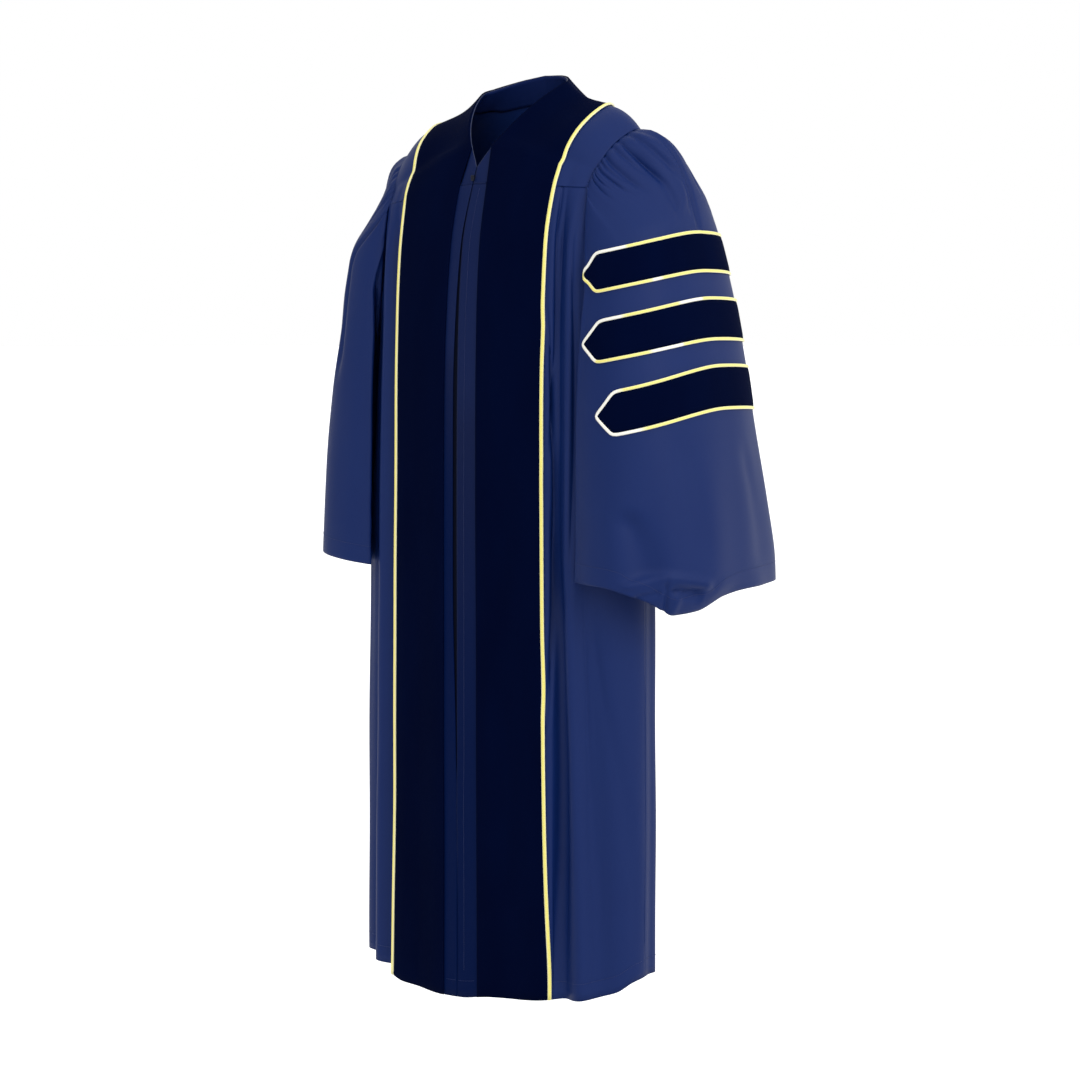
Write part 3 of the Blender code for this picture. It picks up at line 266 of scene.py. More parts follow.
BAR_PIPING_COUNTS = {1: (10, 96), -1: (10, 70)}   # steps of the piping over a half point and over the length
CORNER_COLUMNS = 8
COLUMN_EVEN = 0.72        # the sleeve's columns stand closer together at its outermost line
SEAM_JOIN = -0.0028                  # a panel's top edge runs this far under the yoke
SEAM_TUCK = (0.0017, 0.0002)
OPENING_CLOSED = (-0.95, -1.02)      # the opening's edges touch below this
OPENING_WIDE = (0.72, 0.24)          # the opening gapes most above the first, and no more below both together
OPENING_PULL = {"left": 0.0004, "right": 0.0052}   # how far each edge is drawn aside where it gapes
OPENING_PULLED = (0.16, 0.28)        # it begins this far below the nape, and is full after the second more
OPENING_SHARE = 0.4                  # of the yoke corner's rows, those beside the opening
TURN_LENGTH = 0.215                  # cloth from the sleeve's outermost line to its front or back edge
START_AWAY = 0.0022
ARMHOLE_GAP = -0.0020

# Creases: from u, v to u, v on the cloth, the width and the depth of a soft trough (below 0) or ridge
FRONT_CREASES = {
    "left": (
        # u0, v0, u1, v1, width, depth
        (0.157, -0.165, 0.16, -0.52, 0.0034, -0.0054), (0.16, -0.36, 0.162, -0.88, 0.0042, -0.0088),
        (0.176, -0.64, 0.174, -1.32, 0.011, -0.009), (0.197, -0.22, 0.199, -0.72, 0.006, -0.005),
        (0.236, -0.74, 0.243, -1.27, 0.011, -0.0016), (0.285, -0.78, 0.3, -1.23, 0.012, -0.0016),
        (0.05, -0.3, 0.046, -0.9, 0.012, -0.0005),
    ),
    "right": (
        (0.157, -0.165, 0.162, -0.56, 0.0034, -0.005), (0.168, -0.4, 0.172, -1.31, 0.006, -0.008),
        (0.186, -0.5, 0.19, -1.32, 0.005, -0.0056), (0.215, -0.3, 0.222, -0.9, 0.008, -0.0022),
        (0.285, -0.6, 0.3, -1.25, 0.012, -0.002), (0.06, -0.5, 0.066, -1.2, 0.012, -0.0006),
    ),
}
BACK_CREASES = (
    (-0.12, -0.26, -0.15, -0.64, 0.01, -0.0014), (0.1, -0.3, 0.14, -0.76, 0.011, -0.0016),
    (0.01, -0.5, 0.022, -1.05, 0.012, -0.0012), (0.23, -0.6, 0.225, -1.22, 0.012, -0.0014),
    (-0.24, -0.56, -0.232, -1.24, 0.012, -0.0013),
)
# Gathers at a sleeve's head: u round the outer cloth and how far they run down from the armhole
SLEEVE_GATHERS = {
    "left": (
        # u0, v0, u1, v1, width, depth
        (-0.118, 0.004, -0.12, -0.036, 0.003, -0.0024), (-0.098, 0.008, -0.104, -0.026, 0.0026, -0.0018),
        (-0.084, 0.01, -0.08, -0.04, 0.003, -0.003), (-0.07, 0.01, -0.066, -0.034, 0.0024, -0.0026),
        (-0.058, 0.012, -0.062, -0.046, 0.0034, -0.004), (-0.046, 0.012, -0.044, -0.04, 0.0026, -0.0026),
        (-0.033, 0.012, -0.036, -0.056, 0.0036, -0.004), (-0.021, 0.012, -0.016, -0.06, 0.0028, -0.0024),
        (-0.006, 0.01, 0.006, -0.14, 0.0044, -0.0034), (0.01, 0.01, 0.012, -0.04, 0.0026, -0.002),
        (0.026, 0.01, 0.034, -0.078, 0.0036, -0.0028), (0.042, 0.01, 0.042, -0.04, 0.0026, -0.0018),
        (0.056, 0.01, 0.066, -0.096, 0.0038, -0.0028), (0.072, 0.008, 0.076, -0.05, 0.003, -0.0022),
        (0.092, 0.006, 0.1, -0.07, 0.0034, -0.0024), (0.112, 0.004, 0.116, -0.036, 0.0028, -0.0016),
    ),
    "right": (
        (-0.112, 0.006, -0.118, -0.06, 0.0034, -0.0028), (-0.09, 0.008, -0.084, -0.034, 0.0026, -0.002),
        (-0.074, 0.01, -0.08, -0.09, 0.004, -0.004), (-0.056, 0.01, -0.054, -0.04, 0.0026, -0.0022),
        (-0.042, 0.012, -0.046, -0.064, 0.0034, -0.0032), (-0.026, 0.012, -0.02, -0.044, 0.0028, -0.0022),
        (-0.01, 0.012, -0.004, -0.096, 0.004, -0.003), (0.008, 0.01, 0.008, -0.04, 0.0026, -0.002),
        (0.022, 0.01, 0.03, -0.07, 0.0034, -0.0028), (0.04, 0.01, 0.038, -0.04, 0.0026, -0.0018),
        (0.054, 0.01, 0.062, -0.084, 0.0036, -0.0028), (0.076, 0.008, 0.078, -0.044, 0.0028, -0.002),
        (0.096, 0.006, 0.104, -0.062, 0.0034, -0.0022),
    ),
}
SLEEVE_CREASES = {
    "left": (
        # u0, v0, u1, v1, width, depth
        (-0.142, -0.6, -0.122, -0.69, 0.017, -0.0085), (-0.15, -0.698, -0.1, -0.684, 0.005, 0.0046),
        (-0.104, -0.684, -0.05, -0.698, 0.005, 0.0056), (-0.098, -0.704, -0.06, -0.711, 0.006, -0.009),
        (-0.138, -0.714, -0.108, -0.706, 0.004, -0.0034), (-0.102, -0.692, -0.101, -0.736, 0.003, -0.004),
        (-0.086, -0.706, -0.094, -0.738, 0.005, 0.0026), (-0.075, -0.5, -0.064, -0.66, 0.015, -0.0022),
        (0.03, -0.52, 0.04, -0.69, 0.014, -0.003), (0.09, -0.36, 0.1, -0.64, 0.013, -0.0034),
        (0.15, -0.5, 0.14, -0.7, 0.013, -0.004), (-0.03, -0.12, -0.052, -0.205, 0.0064, -0.0044),
        (-0.012, -0.13, -0.008, -0.2, 0.006, -0.0024),
    ),
    "right": (
        (-0.15, -0.185, -0.142, -0.42, 0.008, -0.0075), (-0.118, -0.33, -0.108, -0.64, 0.012, -0.004),
        (-0.06, -0.44, -0.05, -0.65, 0.013, -0.0024), (0.06, -0.36, 0.07, -0.62, 0.013, -0.003),
        (0.14, -0.42, 0.132, -0.64, 0.012, -0.0036),
    ),
}
HEAD_PUFF = 0.0050
# Share of white painted along both sides of each piping cord: a painted highlight
PAINTED_HIGHLIGHT_EDGE = 0.55
FACING_FROM_STEP = 0.52
BINDING_SIZE = (0.0016, 0.0011)
TOOTH_PITCH = 0.0021
TEETH_FROM = 0.004                   # the zip's coil begins and ends this far from its tape's ends
TOOTH_SIZE = (0.0042, 0.0013, 0.0011)    # across the zip, out from the tape, along it
STITCH_PITCH = 0.0030
STITCH_SHARE = 0.72                  # of the pitch that the thread covers
STITCH_SIZE = 0.00055
# Painted shade on the strips beside the opening: they lose their shine first, and above the start also their colour
PAINTED_SHADE_START = 0.43
PAINTED_SHADE_FULL = 0.8                     # the share of the darker colour at full shade
PAINTED_SHADE_SHINE = 0.15                   # the shine and the colour that are left at full shade
PAINTED_SHADE_TONE = 0.52
# and how far below the nape the painted shade begins to deepen, and over what height, by side
PAINTED_SHADE_DOWN = {"left": (0.43, 0.70), "right": (0.38, 0.30)}
HEM_DEPTH = 0.024
CUFF_DEPTH = 0.026
PLACKET_WIDTH = 0.0135
# Where the yellow piping of the left sleeve's bars is painted nearly white: painted highlights
PAINTED_HIGHLIGHT_ROWS = (
    # bar, from level, to level, from column, to column
    ("upper", 0.02, 1.1, 0.0, 3.2),
    ("upper", -1.1, -0.9, 5.4, 6.4),
    ("middle", -0.9, 1.1, 0.0, 3.2),
    ("middle", 0.9, 1.1, 8.2, 12.0),
    ("middle", -1.1, -0.9, 5.2, 8.4),
    ("lower", -1.1, 1.1, 0.0, 3.2),
    ("lower", -1.1, -0.9, 2.0, 4.6),
)


def ramp(t):
    """0 to 1 with level ends."""
    t = min(1.0, max(0.0, t))
    return t * t * (3 - 2 * t)


def smooth(t):
    """The same for a whole array."""
    t = np.clip(t, 0.0, 1.0)
    return t * t * (3 - 2 * t)


def run_of(line):
    """How far along a line each of its points lies."""
    return np.concatenate([[0], np.cumsum(np.linalg.norm(np.diff(line, axis=0), axis=1))])


def at_run(line, run, at):
    """The point of a line where its run has this value."""
    return np.array([np.interp(at, run, line[:, k]) for k in range(line.shape[1])])


def unit(ways):
    """Directions of length 1."""
    return ways / np.maximum(np.linalg.norm(ways, axis=-1, keepdims=True), 1e-12)


def read(rows, key):
    """A table read at a key: smooth, and never past the values of the two rows on either side."""
    keys = np.array([row[0] for row in rows], float)
    values = np.array([row[1:] for row in rows], float)
    if keys[-1] < keys[0]:
        keys, values = keys[::-1], values[::-1]
    if key <= keys[0]:
        return values[0]
    if key >= keys[-1]:
        return values[-1]
    i = int(np.searchsorted(keys, key, side="right")) - 1
    steps = np.diff(values, axis=0) / np.diff(keys)[:, None]

    def slope(j):
        if j == 0 or j == len(keys) - 1:
            return steps[0] if j == 0 else steps[-1]
        a, b = steps[j - 1], steps[j]
        same = a * b > 0
        return np.where(same, 2 * a * b / np.where(same, a + b, 1.0), 0.0)

    h = keys[i + 1] - keys[i]
    t = (key - keys[i]) / h
    return (
        (2 * t**3 - 3 * t**2 + 1) * values[i]
        + (t**3 - 2 * t**2 + t) * slope(i) * h
        + (-2 * t**3 + 3 * t**2) * values[i + 1]
        + (t**3 - t**2) * slope(i + 1) * h
    )


# The body surface

_sections = {}


def section(z):
    """The left half of the section at z, centre front to centre back: points and running lengths."""
    key = round(z, 5)
    if key not in _sections:
        width, front, back, centre, square = read(BODY_ROWS, z)
        turn = np.linspace(0, math.pi, SECTION_STEPS + 1)
        power = 2 / square
        x = width * np.abs(np.sin(turn)) ** power
        depth = np.where(turn < math.pi / 2, centre - front, back - centre)
        y = centre - np.sign(np.cos(turn)) * depth * np.abs(np.cos(turn)) ** power
        points = np.stack([x, y], 1)
        _sections[key] = (points, run_of(points))
    return _sections[key]


def side_s(z):
    """Cloth from the centre front to the side seam at z."""
    return float(section(z)[1][SECTION_STEPS // 2])


def back_s(z):
    """Cloth from the centre front round to the centre back at z."""
    return float(section(z)[1][-1])


def on_body(s, z):
    """The point at s along the smooth section, and its outward direction. s below 0 is the wearer's right."""
    points, run = section(z)
    side = -1.0 if s < 0 else 1.0
    reach = min(abs(s), run[-1])
    x, y = at_run(points, run, reach)
    before = min(max(reach - TANGENT_STEP, 0), run[-1] - 2 * TANGENT_STEP)
    tx, ty = at_run(points, run, before + 2 * TANGENT_STEP) - at_run(points, run, before)
    size = math.hypot(tx, ty)
    return np.array([side * x, y, z]), np.array([side * ty / size, -tx / size, 0.0])


def seam_z(s):
    """Height of the top edge of the body panels: yoke seams, and between them the armhole."""
    reach = abs(s)
    side = side_s(SEAM_SECTION_Z)
    whole = back_s(SEAM_SECTION_Z)
    if reach <= CORNER_S:
        return FRONT_SEAM_Z - FRONT_SEAM_DROP * ramp(reach / CORNER_S) ** 2
    if reach >= whole - BACK_CORNER_S:
        return BACK_SEAM_Z - CORNER_DROP_BACK * ramp((whole - reach) / BACK_CORNER_S) ** 2
    if reach <= side:
        t = (reach - CORNER_S) / (side - CORNER_S)
        top = FRONT_SEAM_Z - FRONT_SEAM_DROP
    else:
        t = (whole - BACK_CORNER_S - reach) / (whole - BACK_CORNER_S - side)
        top = BACK_SEAM_Z - CORNER_DROP_BACK
    return top + (UNDERARM_Z - top) * (1 - (1 - t) ** 4) ** (1 / 1.5)


def front_fold(s, z):
    """How far a front stands out at s, in all its folds."""
    reach = abs(s)
    band_outer = read(BAND_ROWS, z)[1]
    along = (FRONT_SEAM_Z - z) / (FRONT_SEAM_Z - HEM_Z)
    total = 0.0
    for s_seam, s_thigh, s_hem, width_seam, width_hem, depth_top, depth_low, z_from in FRONT_FOLDS[SIDE_OF[s >= 0]]:
        if z > z_from:
            continue
        if along < 0.5:
            centre = s_seam + (s_thigh - s_seam) * ramp(along * 2)
        else:
            centre = s_thigh + (s_hem - s_thigh) * ramp(along * 2 - 1)
        width = width_seam + (width_hem - width_seam) * ramp(along)
        depth = depth_top + (depth_low - depth_top) * ramp(along)
        depth *= 0.12 + 0.88 * ramp((min(z_from, FRONT_SEAM_Z) - z) / FOLD_HEIGHT)
        if s_seam > band_outer:
            depth *= ramp((reach - band_outer - BEYOND_BAND) / BAND_FADE)
        total += depth * math.exp(-(((reach - centre) / width) ** 2))
    return total


def back_fold(s, z):
    """How far the back stands out at s: uneven flutes that fade beside the side seams."""
    whole, side = back_s(z), side_s(z)
    across = (whole - abs(s)) / (whole - side)
    if s < 0:
        across = -across
    turns = across * BACK_FLUTES / 2
    uneven = 0.16 * math.sin(2.3 * turns + 0.7) + 0.05 * math.sin(4.1 * turns)
    depth = float(read(FLUTE_DEPTH_ROWS, z)[0]) * (0.80 + 0.20 * math.sin(1.7 * turns + 1.1))
    fade = 1 - ramp((abs(across) - 0.86) / 0.14)
    return depth * fade * math.cos(2 * math.pi * (turns + uneven))


def swell(s, z):
    """How far the body's folds can stand out at s, for what hangs beside them."""
    whole, side = back_s(z), side_s(z)
    if abs(s) <= side:
        return max(front_fold(s, z), 0.0)
    across = (whole - abs(s)) / (whole - side)
    return float(read(FLUTE_DEPTH_ROWS, z)[0]) * (1 - ramp((across - 0.80) / 0.20))


def cloth(s, z):
    """A point of the folded body cloth."""
    point, out = on_body(s, z)
    whole, side = back_s(z), side_s(z)
    t = (abs(s) - side) / (whole - side)
    return point + out * (front_fold(s, z) if t <= 0 else back_fold(s, z))


def opening_s(side, z):
    """The closed edge of one front, half the gap away from the other."""
    middle, gap = read(OPENING_ROWS, z)
    gap *= smooth((z - OPENING_CLOSED[1]) / (OPENING_CLOSED[0] - OPENING_CLOSED[1]))
    pulled = smooth((-z - OPENING_PULLED[0]) / OPENING_PULLED[1])
    pulled *= 1 - smooth((-z - OPENING_WIDE[0]) / OPENING_WIDE[1])
    return SIGNS[side] * float(middle) + float(gap) / 2 - EDGE_LAP + float(pulled * OPENING_PULL[side])


def down_steps(count, first=0.55):
    """Shares of a panel's height, closer together near the top."""
    return [first * t + (1 - first) * t * t for t in np.linspace(0, 1, count)]


def hem_z(s):
    return float(read(HEM_ROWS, s)[0])


# Yoke

def neck(step):
    return np.array(read(NECK_ROWS, step))


def yoke_line(step):
    """The inner end, outer end, band share and bulge of one line across the left half of the yoke."""
    corner_z = seam_z(CORNER_S)
    back_at = back_s(SEAM_SECTION_Z) - BACK_CORNER_S
    corner = cloth(CORNER_S, corner_z)
    back_corner = cloth(back_at + 0.0002, BACK_SEAM_Z - CORNER_DROP_BACK)
    rows = [(0.0, 0.0, *corner, 0.672, 0.0)]
    rows += YOKE_ROWS
    rows += [(YOKE_BACK_STEP, 0.91, *back_corner, 0.480, 0.0070)]
    rows += [(1.0, 1.0, 0.0, back_corner[1], back_corner[2], 0.470, 0.0050)]
    neck_step, x, y, z, share, bulge = read(rows, step)
    inner = neck(neck_step)
    outer = np.array([x, y, z])
    if step < YOKE_FRONT_STEP:
        low_s = read(BAND_ROWS, FRONT_SEAM_Z)[0]
        low = cloth(low_s, seam_z(low_s))
        inner = low + (neck(BAND_MEETS_NECK) - low) * (step / YOKE_FRONT_STEP)
    if step > YOKE_BACK_STEP:
        t = (step - YOKE_BACK_STEP) / (1 - YOKE_BACK_STEP)
        s = back_at + (back_s(SEAM_SECTION_Z) - back_at) * t
        outer = cloth(s, seam_z(s))
        outer[0] *= 1.0 if t < 1 else 0.0
    return inner, outer, share, bulge


def yoke_point(step, share):
    """A point of the left half of the yoke, share 0 at the neck and 1 at the outer edge."""
    inner, outer, _, bulge = yoke_line(step)
    point = inner + (outer - inner) * share
    ahead, behind = yoke_line(min(step + 0.02, 1.0)), yoke_line(max(step - 0.02, 0.0))
    along = (ahead[0] + (ahead[1] - ahead[0]) * share) - (behind[0] + (behind[1] - behind[0]) * share)
    out = unit(np.cross(outer - inner, along))
    if np.dot(out, point - YOKE_CENTRE) < 0:
        out = -out
    hollow = NECK_HOLLOW * ramp((step - 0.16) / 0.24) * (1 - ramp((step - 0.62) / 0.25))
    point = point + out * (bulge * 4 * share * (1 - share) - hollow * math.sin(2 * math.pi * share))
    first = yoke_line(0.0)
    low_s = float(read(BAND_ROWS, FRONT_SEAM_Z)[0])
    s = low_s + (CORNER_S - low_s) * share
    seam = cloth(s, seam_z(s)) - (first[0] + (first[1] - first[0]) * share)
    return point + seam * (1 - ramp(step / SEAM_BLEND))


# Sleeves, worked out for the left one and mirrored

_rings = {}


def beside(sign, s, z, away):
    """A point beside the body, away from its folds, in the left sleeve's own sense."""
    point, out = on_body(s, z)
    return point + out * (away + swell(sign * s, z))


def ring(sign, z):
    """A level section of a sleeve: outer arc from front edge to back edge, and where it leaves the body."""
    key = (sign, round(z, 5))
    if key in _rings:
        return _rings[key]
    centre_x, centre_y, half_x, front_reach, back_reach, square = read(SLEEVE_ROWS, z)
    width, front, back, body_y, body_square = read(BODY_ROWS, z)
    if sign == -1:
        half_x *= float(read(RIGHT_WIDTH_ROWS, z)[0])
    turn = np.linspace(-math.pi, math.pi, 2 * RING_HALF + 1)
    power = 2 / square
    x = centre_x + half_x * np.sign(np.cos(turn)) * np.abs(np.cos(turn)) ** power
    reach = np.where(turn < 0, front_reach, back_reach)
    y = centre_y + reach * np.sign(np.sin(turn)) * np.abs(np.sin(turn)) ** power
    depth = np.where(y < body_y, body_y - front, back - body_y) + EDGE_AWAY
    inside = (np.abs(x) / (width + EDGE_AWAY)) ** body_square + (np.abs(y - body_y) / depth) ** body_square < 1
    first = last = RING_HALF
    while first > RING_HALF - RING_REACH and not inside[first - 1]:
        first -= 1
    while last < RING_HALF + RING_REACH and not inside[last + 1]:
        last += 1
    arc = np.stack([x, y], 1)[first:last + 1]
    run = run_of(arc)
    points, body_run = section(z)
    ends = [float(body_run[np.argmin(np.linalg.norm(points - end, axis=1))]) for end in (arc[0], arc[-1])]
    _rings[key] = (arc, run, run[RING_HALF - first], ends)
    return _rings[key]


def outer_point(sign, turn, z):
    arc, run, middle, _ = ring(sign, z)
    at = middle * (1 + turn) if turn < 0 else middle + (run[-1] - middle) * turn
    return np.array([*at_run(arc, run, at), z])


def armhole(sign, t, in_front):
    """The sleeve's start beside the armhole, from the shoulder tip (0) down its front or back to the underarm (1)."""
    side = side_s(SEAM_SECTION_Z)
    if in_front:
        step_low, s_corner, s_side = 0.0, CORNER_S, side - UNDERARM_CLEAR
    else:
        step_low, s_corner, s_side = YOKE_BACK_STEP, back_s(SEAM_SECTION_Z) - BACK_CORNER_S, side + UNDERARM_CLEAR
    if t < ARMHOLE_YOKE_SHARE:
        step = YOKE_TIP_STEP + (step_low - YOKE_TIP_STEP) * t / ARMHOLE_YOKE_SHARE
        edge, near = yoke_point(step, 1.0), yoke_point(step, 0.92)
        return edge + unit(edge - near) * ARMHOLE_GAP, None
    angle = (t - ARMHOLE_YOKE_SHARE) / (1 - ARMHOLE_YOKE_SHARE) * math.pi / 2
    s = s_corner + (s_side - s_corner) * (1 - max(math.cos(angle), 0.0) ** 0.5)
    return beside(sign, s, seam_z(s), START_AWAY), s


def sleeve_column(sign, c):
    """What a column of the sleeve's grid follows: its turn, or its share of the inner arc, and its armhole point."""
    if c <= SLEEVE_OUTER:
        turn = turn_of(c)
        return turn, None, *armhole(sign, abs(turn) * ARMHOLE_SPLIT, turn < 0)
    share = (c - SLEEVE_OUTER) / (SLEEVE_INNER + 1)
    low = min(share, 1 - share) * 2
    return None, share, *armhole(sign, ARMHOLE_SPLIT + (1 - ARMHOLE_SPLIT) * low, share >= 0.5)


def cuff_z(sign, turn):
    if turn is None:
        return CUFF_INNER_Z
    return float(read(CUFF_ROWS[SIDE_OF[sign > 0]], turn)[0])


def sleeve_point(sign, c, z):
    """A point of a sleeve's grid column c at height z, in the left sleeve's own sense."""
    turn, share, start, start_s = sleeve_column(sign, c)
    down = max(start[2] - z, 0.0)
    head = 1 - ramp(down / HEAD_BLEND)
    if turn is not None:
        point = outer_point(sign, turn, z)
        point = point + (start - outer_point(sign, turn, start[2])) * head
        away = unit(point - np.array([*SLEEVE_AXIS, z]))
        for at, width, depth, z_from, z_full in SLEEVE_FOLDS:
            amount = depth * math.exp(-(((turn - at) / width) ** 2)) * ramp((z_from - z) / (z_from - z_full))
            point = point + away * amount
        begins, ends = (ramp((turn - at) / ROLL_FADE) for at in ROLL_TURNS)
        return point - away * ROLL_IN * ramp((ROLL_FROM_Z - z) / ROLL_HEIGHT) * begins * (1 - ends)
    first, last = ring(sign, z)[3]
    s = last - EDGE_TURN + (first - last + 2 * EDGE_TURN) * share
    first, last = ring(sign, start[2])[3]
    s += (start_s - (last - EDGE_TURN + (first - last + 2 * EDGE_TURN) * share)) * head
    nose = NOSE_AWAY * max(0.0, 1 - min(share, 1 - share) * (SLEEVE_INNER + 1) / NOSE_COLUMNS)
    away = SLEEVE_CLEARANCE + nose
    away += (START_AWAY - away) * (1 - ramp(down / START_HEIGHT))
    return beside(sign, s, z, away)


def sleeve_span(sign, c):
    turn, _, start, _ = sleeve_column(sign, c)
    return float(start[2]), cuff_z(sign, turn)


def column_of(turn):
    """The grid column, as a real number, where the outer cloth has this turn."""
    columns = np.arange(SLEEVE_OUTER + 1)
    return float(np.interp(turn, turn_of(columns), columns))


def turn_of(column):
    """How far round the outer cloth a grid column lies: -1 at the front edge, 0 outermost, 1 at the back edge."""
    w = 2 * column / SLEEVE_OUTER - 1
    return w * (COLUMN_EVEN + (1 - COLUMN_EVEN) * w * w)


def bar_centre(bar, turn):
    z_front, z_middle, z_back, front_turn = bar[1:5]
    if turn < 0:
        share = turn / front_turn
        return z_middle + (z_front - z_middle) * share * share * (1 + BAR_BEND * (1 - share))
    return z_middle + (z_back - z_middle) * (turn / BAR_BACK_TURN) ** 2


# Fine grids

def finer(grid, factor, closed=False):
    """The grid with factor - 1 smooth rows between each two."""
    if closed:
        wide = np.concatenate([grid[-1:], grid, grid[:2]])
    else:
        wide = np.concatenate([2 * grid[:1] - grid[1:2], grid, 2 * grid[-1:] - grid[-2:-1]])
    cells = len(wide) - 3
    found = np.zeros((cells, factor, *grid.shape[1:]))
    for i in range(factor):
        t = i / factor
        shares = (-t + 2 * t**2 - t**3, 2 - 5 * t**2 + 3 * t**3, t + 4 * t**2 - 3 * t**3, -(t**2) + t**3)
        found[:, i] = sum(share / 2 * wide[k:k + cells] for k, share in enumerate(shares))
    found = found.reshape(-1, *grid.shape[1:])
    return found if closed else np.concatenate([found, grid[-1:]])


def refined(grid, down, across, closed=False):
    """The grid with smooth rows and columns between its own."""
    rows = finer(grid, down)
    return finer(rows.transpose(1, 0, 2), across, closed).transpose(1, 0, 2)


def outward(grid, closed=False, sign=1):
    """Directions away from the cloth's inner side at each point of a grid."""
    wide = np.concatenate([grid[:, -1:], grid, grid[:, :1]], 1) if closed else grid
    cross = unit(np.cross(np.gradient(wide, axis=0), np.gradient(wide, axis=1)) * sign)
    return cross[:, 1:-1] if closed else cross


def pressed(u, v, rows):
    """The sum of soft troughs and ridges, each one along a line on the cloth and fading at its ends."""
    total = np.zeros_like(u)
    for u0, v0, u1, v1, width, depth in rows:
        length = math.hypot(u1 - u0, v1 - v0)
        du, dv = (u1 - u0) / length, (v1 - v0) / length
        t = ((u - u0) * du + (v - v0) * dv) / length
        off = (u - u0) * -dv + (v - v0) * du
        bend = off + 0.10 * length * (t - 0.5) ** 2
        ends = smooth((t + 0.12) / 0.30) * smooth((1.12 - t) / 0.30)
        total += depth * ends * np.exp(-((bend / (width * (0.75 + 0.5 * t))) ** 2))
    return total


def ripple(u, v, seed, amount, size):
    """A slight uneven waviness with no direction, the same each time."""
    rng = np.random.default_rng(seed)
    total = np.zeros_like(u)
    for _ in range(9):
        angle, phase = rng.uniform(0, 2 * math.pi, 2)
        pitch = size * rng.uniform(0.6, 1.8)
        total += np.sin(2 * math.pi * (u * math.cos(angle) * 1.6 + v * math.sin(angle) * 0.6) / pitch + phase)
    return total * amount / 3


def settled(points):
    """The points with the right shoulder's drop."""
    points = np.array(points, float)
    share = smooth((points[..., 2] - SLOPE_END_Z) / (SLOPE_FULL_Z - SLOPE_END_Z))
    points[..., 2] += RIGHT_SLOPE * np.minimum(points[..., 0], 0.0) * share
    return points


def lengths(grid):
    """How far each point lies along its row and down its column, in metres."""
    along = np.linalg.norm(np.diff(grid, axis=1), axis=2)
    u = np.concatenate([np.zeros((len(grid), 1)), np.cumsum(along, axis=1)], 1)
    down = np.linalg.norm(np.diff(grid, axis=0), axis=2)
    v = np.concatenate([np.zeros((1, grid.shape[1])), np.cumsum(down, axis=0)])
    return u, v


def linked(name, data):
    """A new object in the scene."""
    found = bpy.data.objects.new(name, data)
    bpy.context.scene.collection.objects.link(found)
    return found


def mesh_of(name, points, faces, slot, look, node=None, uv=None):
    """A mesh on the gown; if it takes a solid's place, that solid's node is hidden. The slot is not used."""
    mesh = bpy.data.meshes.new(name)
    mesh.from_pydata(np.array(points).tolist(), [], faces)
    mesh.update()
    mesh.shade_smooth()
    if uv is not None:
        layer = mesh.uv_layers.new(name="cloth")
        layer.data.foreach_set("uv", np.array(uv, np.float32).ravel())
    mesh.materials.append(look)
    found = linked(name, mesh)
    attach(found, "root")
    if node:
        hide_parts(node)
    return found


def mark(found, name, values):
    """A number at each of a mesh's points, which its material reads."""
    layer = found.data.attributes.new(name, "FLOAT", "POINT")
    layer.data.foreach_set("value", np.ravel(values).astype(np.float32))


def shell(node, ending, grids, slot, look, wall=WALL, closed=False, flip=False):
    """One piece of cloth in a solid's place, from one or more grids that are joined where their points meet."""
    points, faces, uv = [], [], []
    for k, grid in enumerate(grids):
        start = sum(len(p) for p in points)
        rows, columns = grid.shape[:2]
        points.append(grid.reshape(-1, 3))
        u, v = lengths(np.concatenate([grid, grid[:, :1]], 1) if closed else grid)
        turned = flip[k] if isinstance(flip, list) else flip
        for r in range(rows - 1):
            for c in range(columns if closed else columns - 1):
                n = (c + 1) % columns
                corners = [(r, c, c), (r, n, c + 1), (r + 1, n, c + 1), (r + 1, c, c)]
                if turned:
                    corners.reverse()
                faces.append([start + a * columns + b for a, b, _ in corners])
                uv += [(u[a, w], v[a, w]) for a, _, w in corners]
    found = mesh_of(node + ending, settled(np.concatenate(points)), faces, slot, look, node, uv)
    found.modifiers.new("Joined", "WELD").merge_threshold = JOINED_WITHIN
    solid = found.modifiers.new("Wall", "SOLIDIFY")
    solid.thickness, solid.offset = wall, 0.0
    made[node] = found


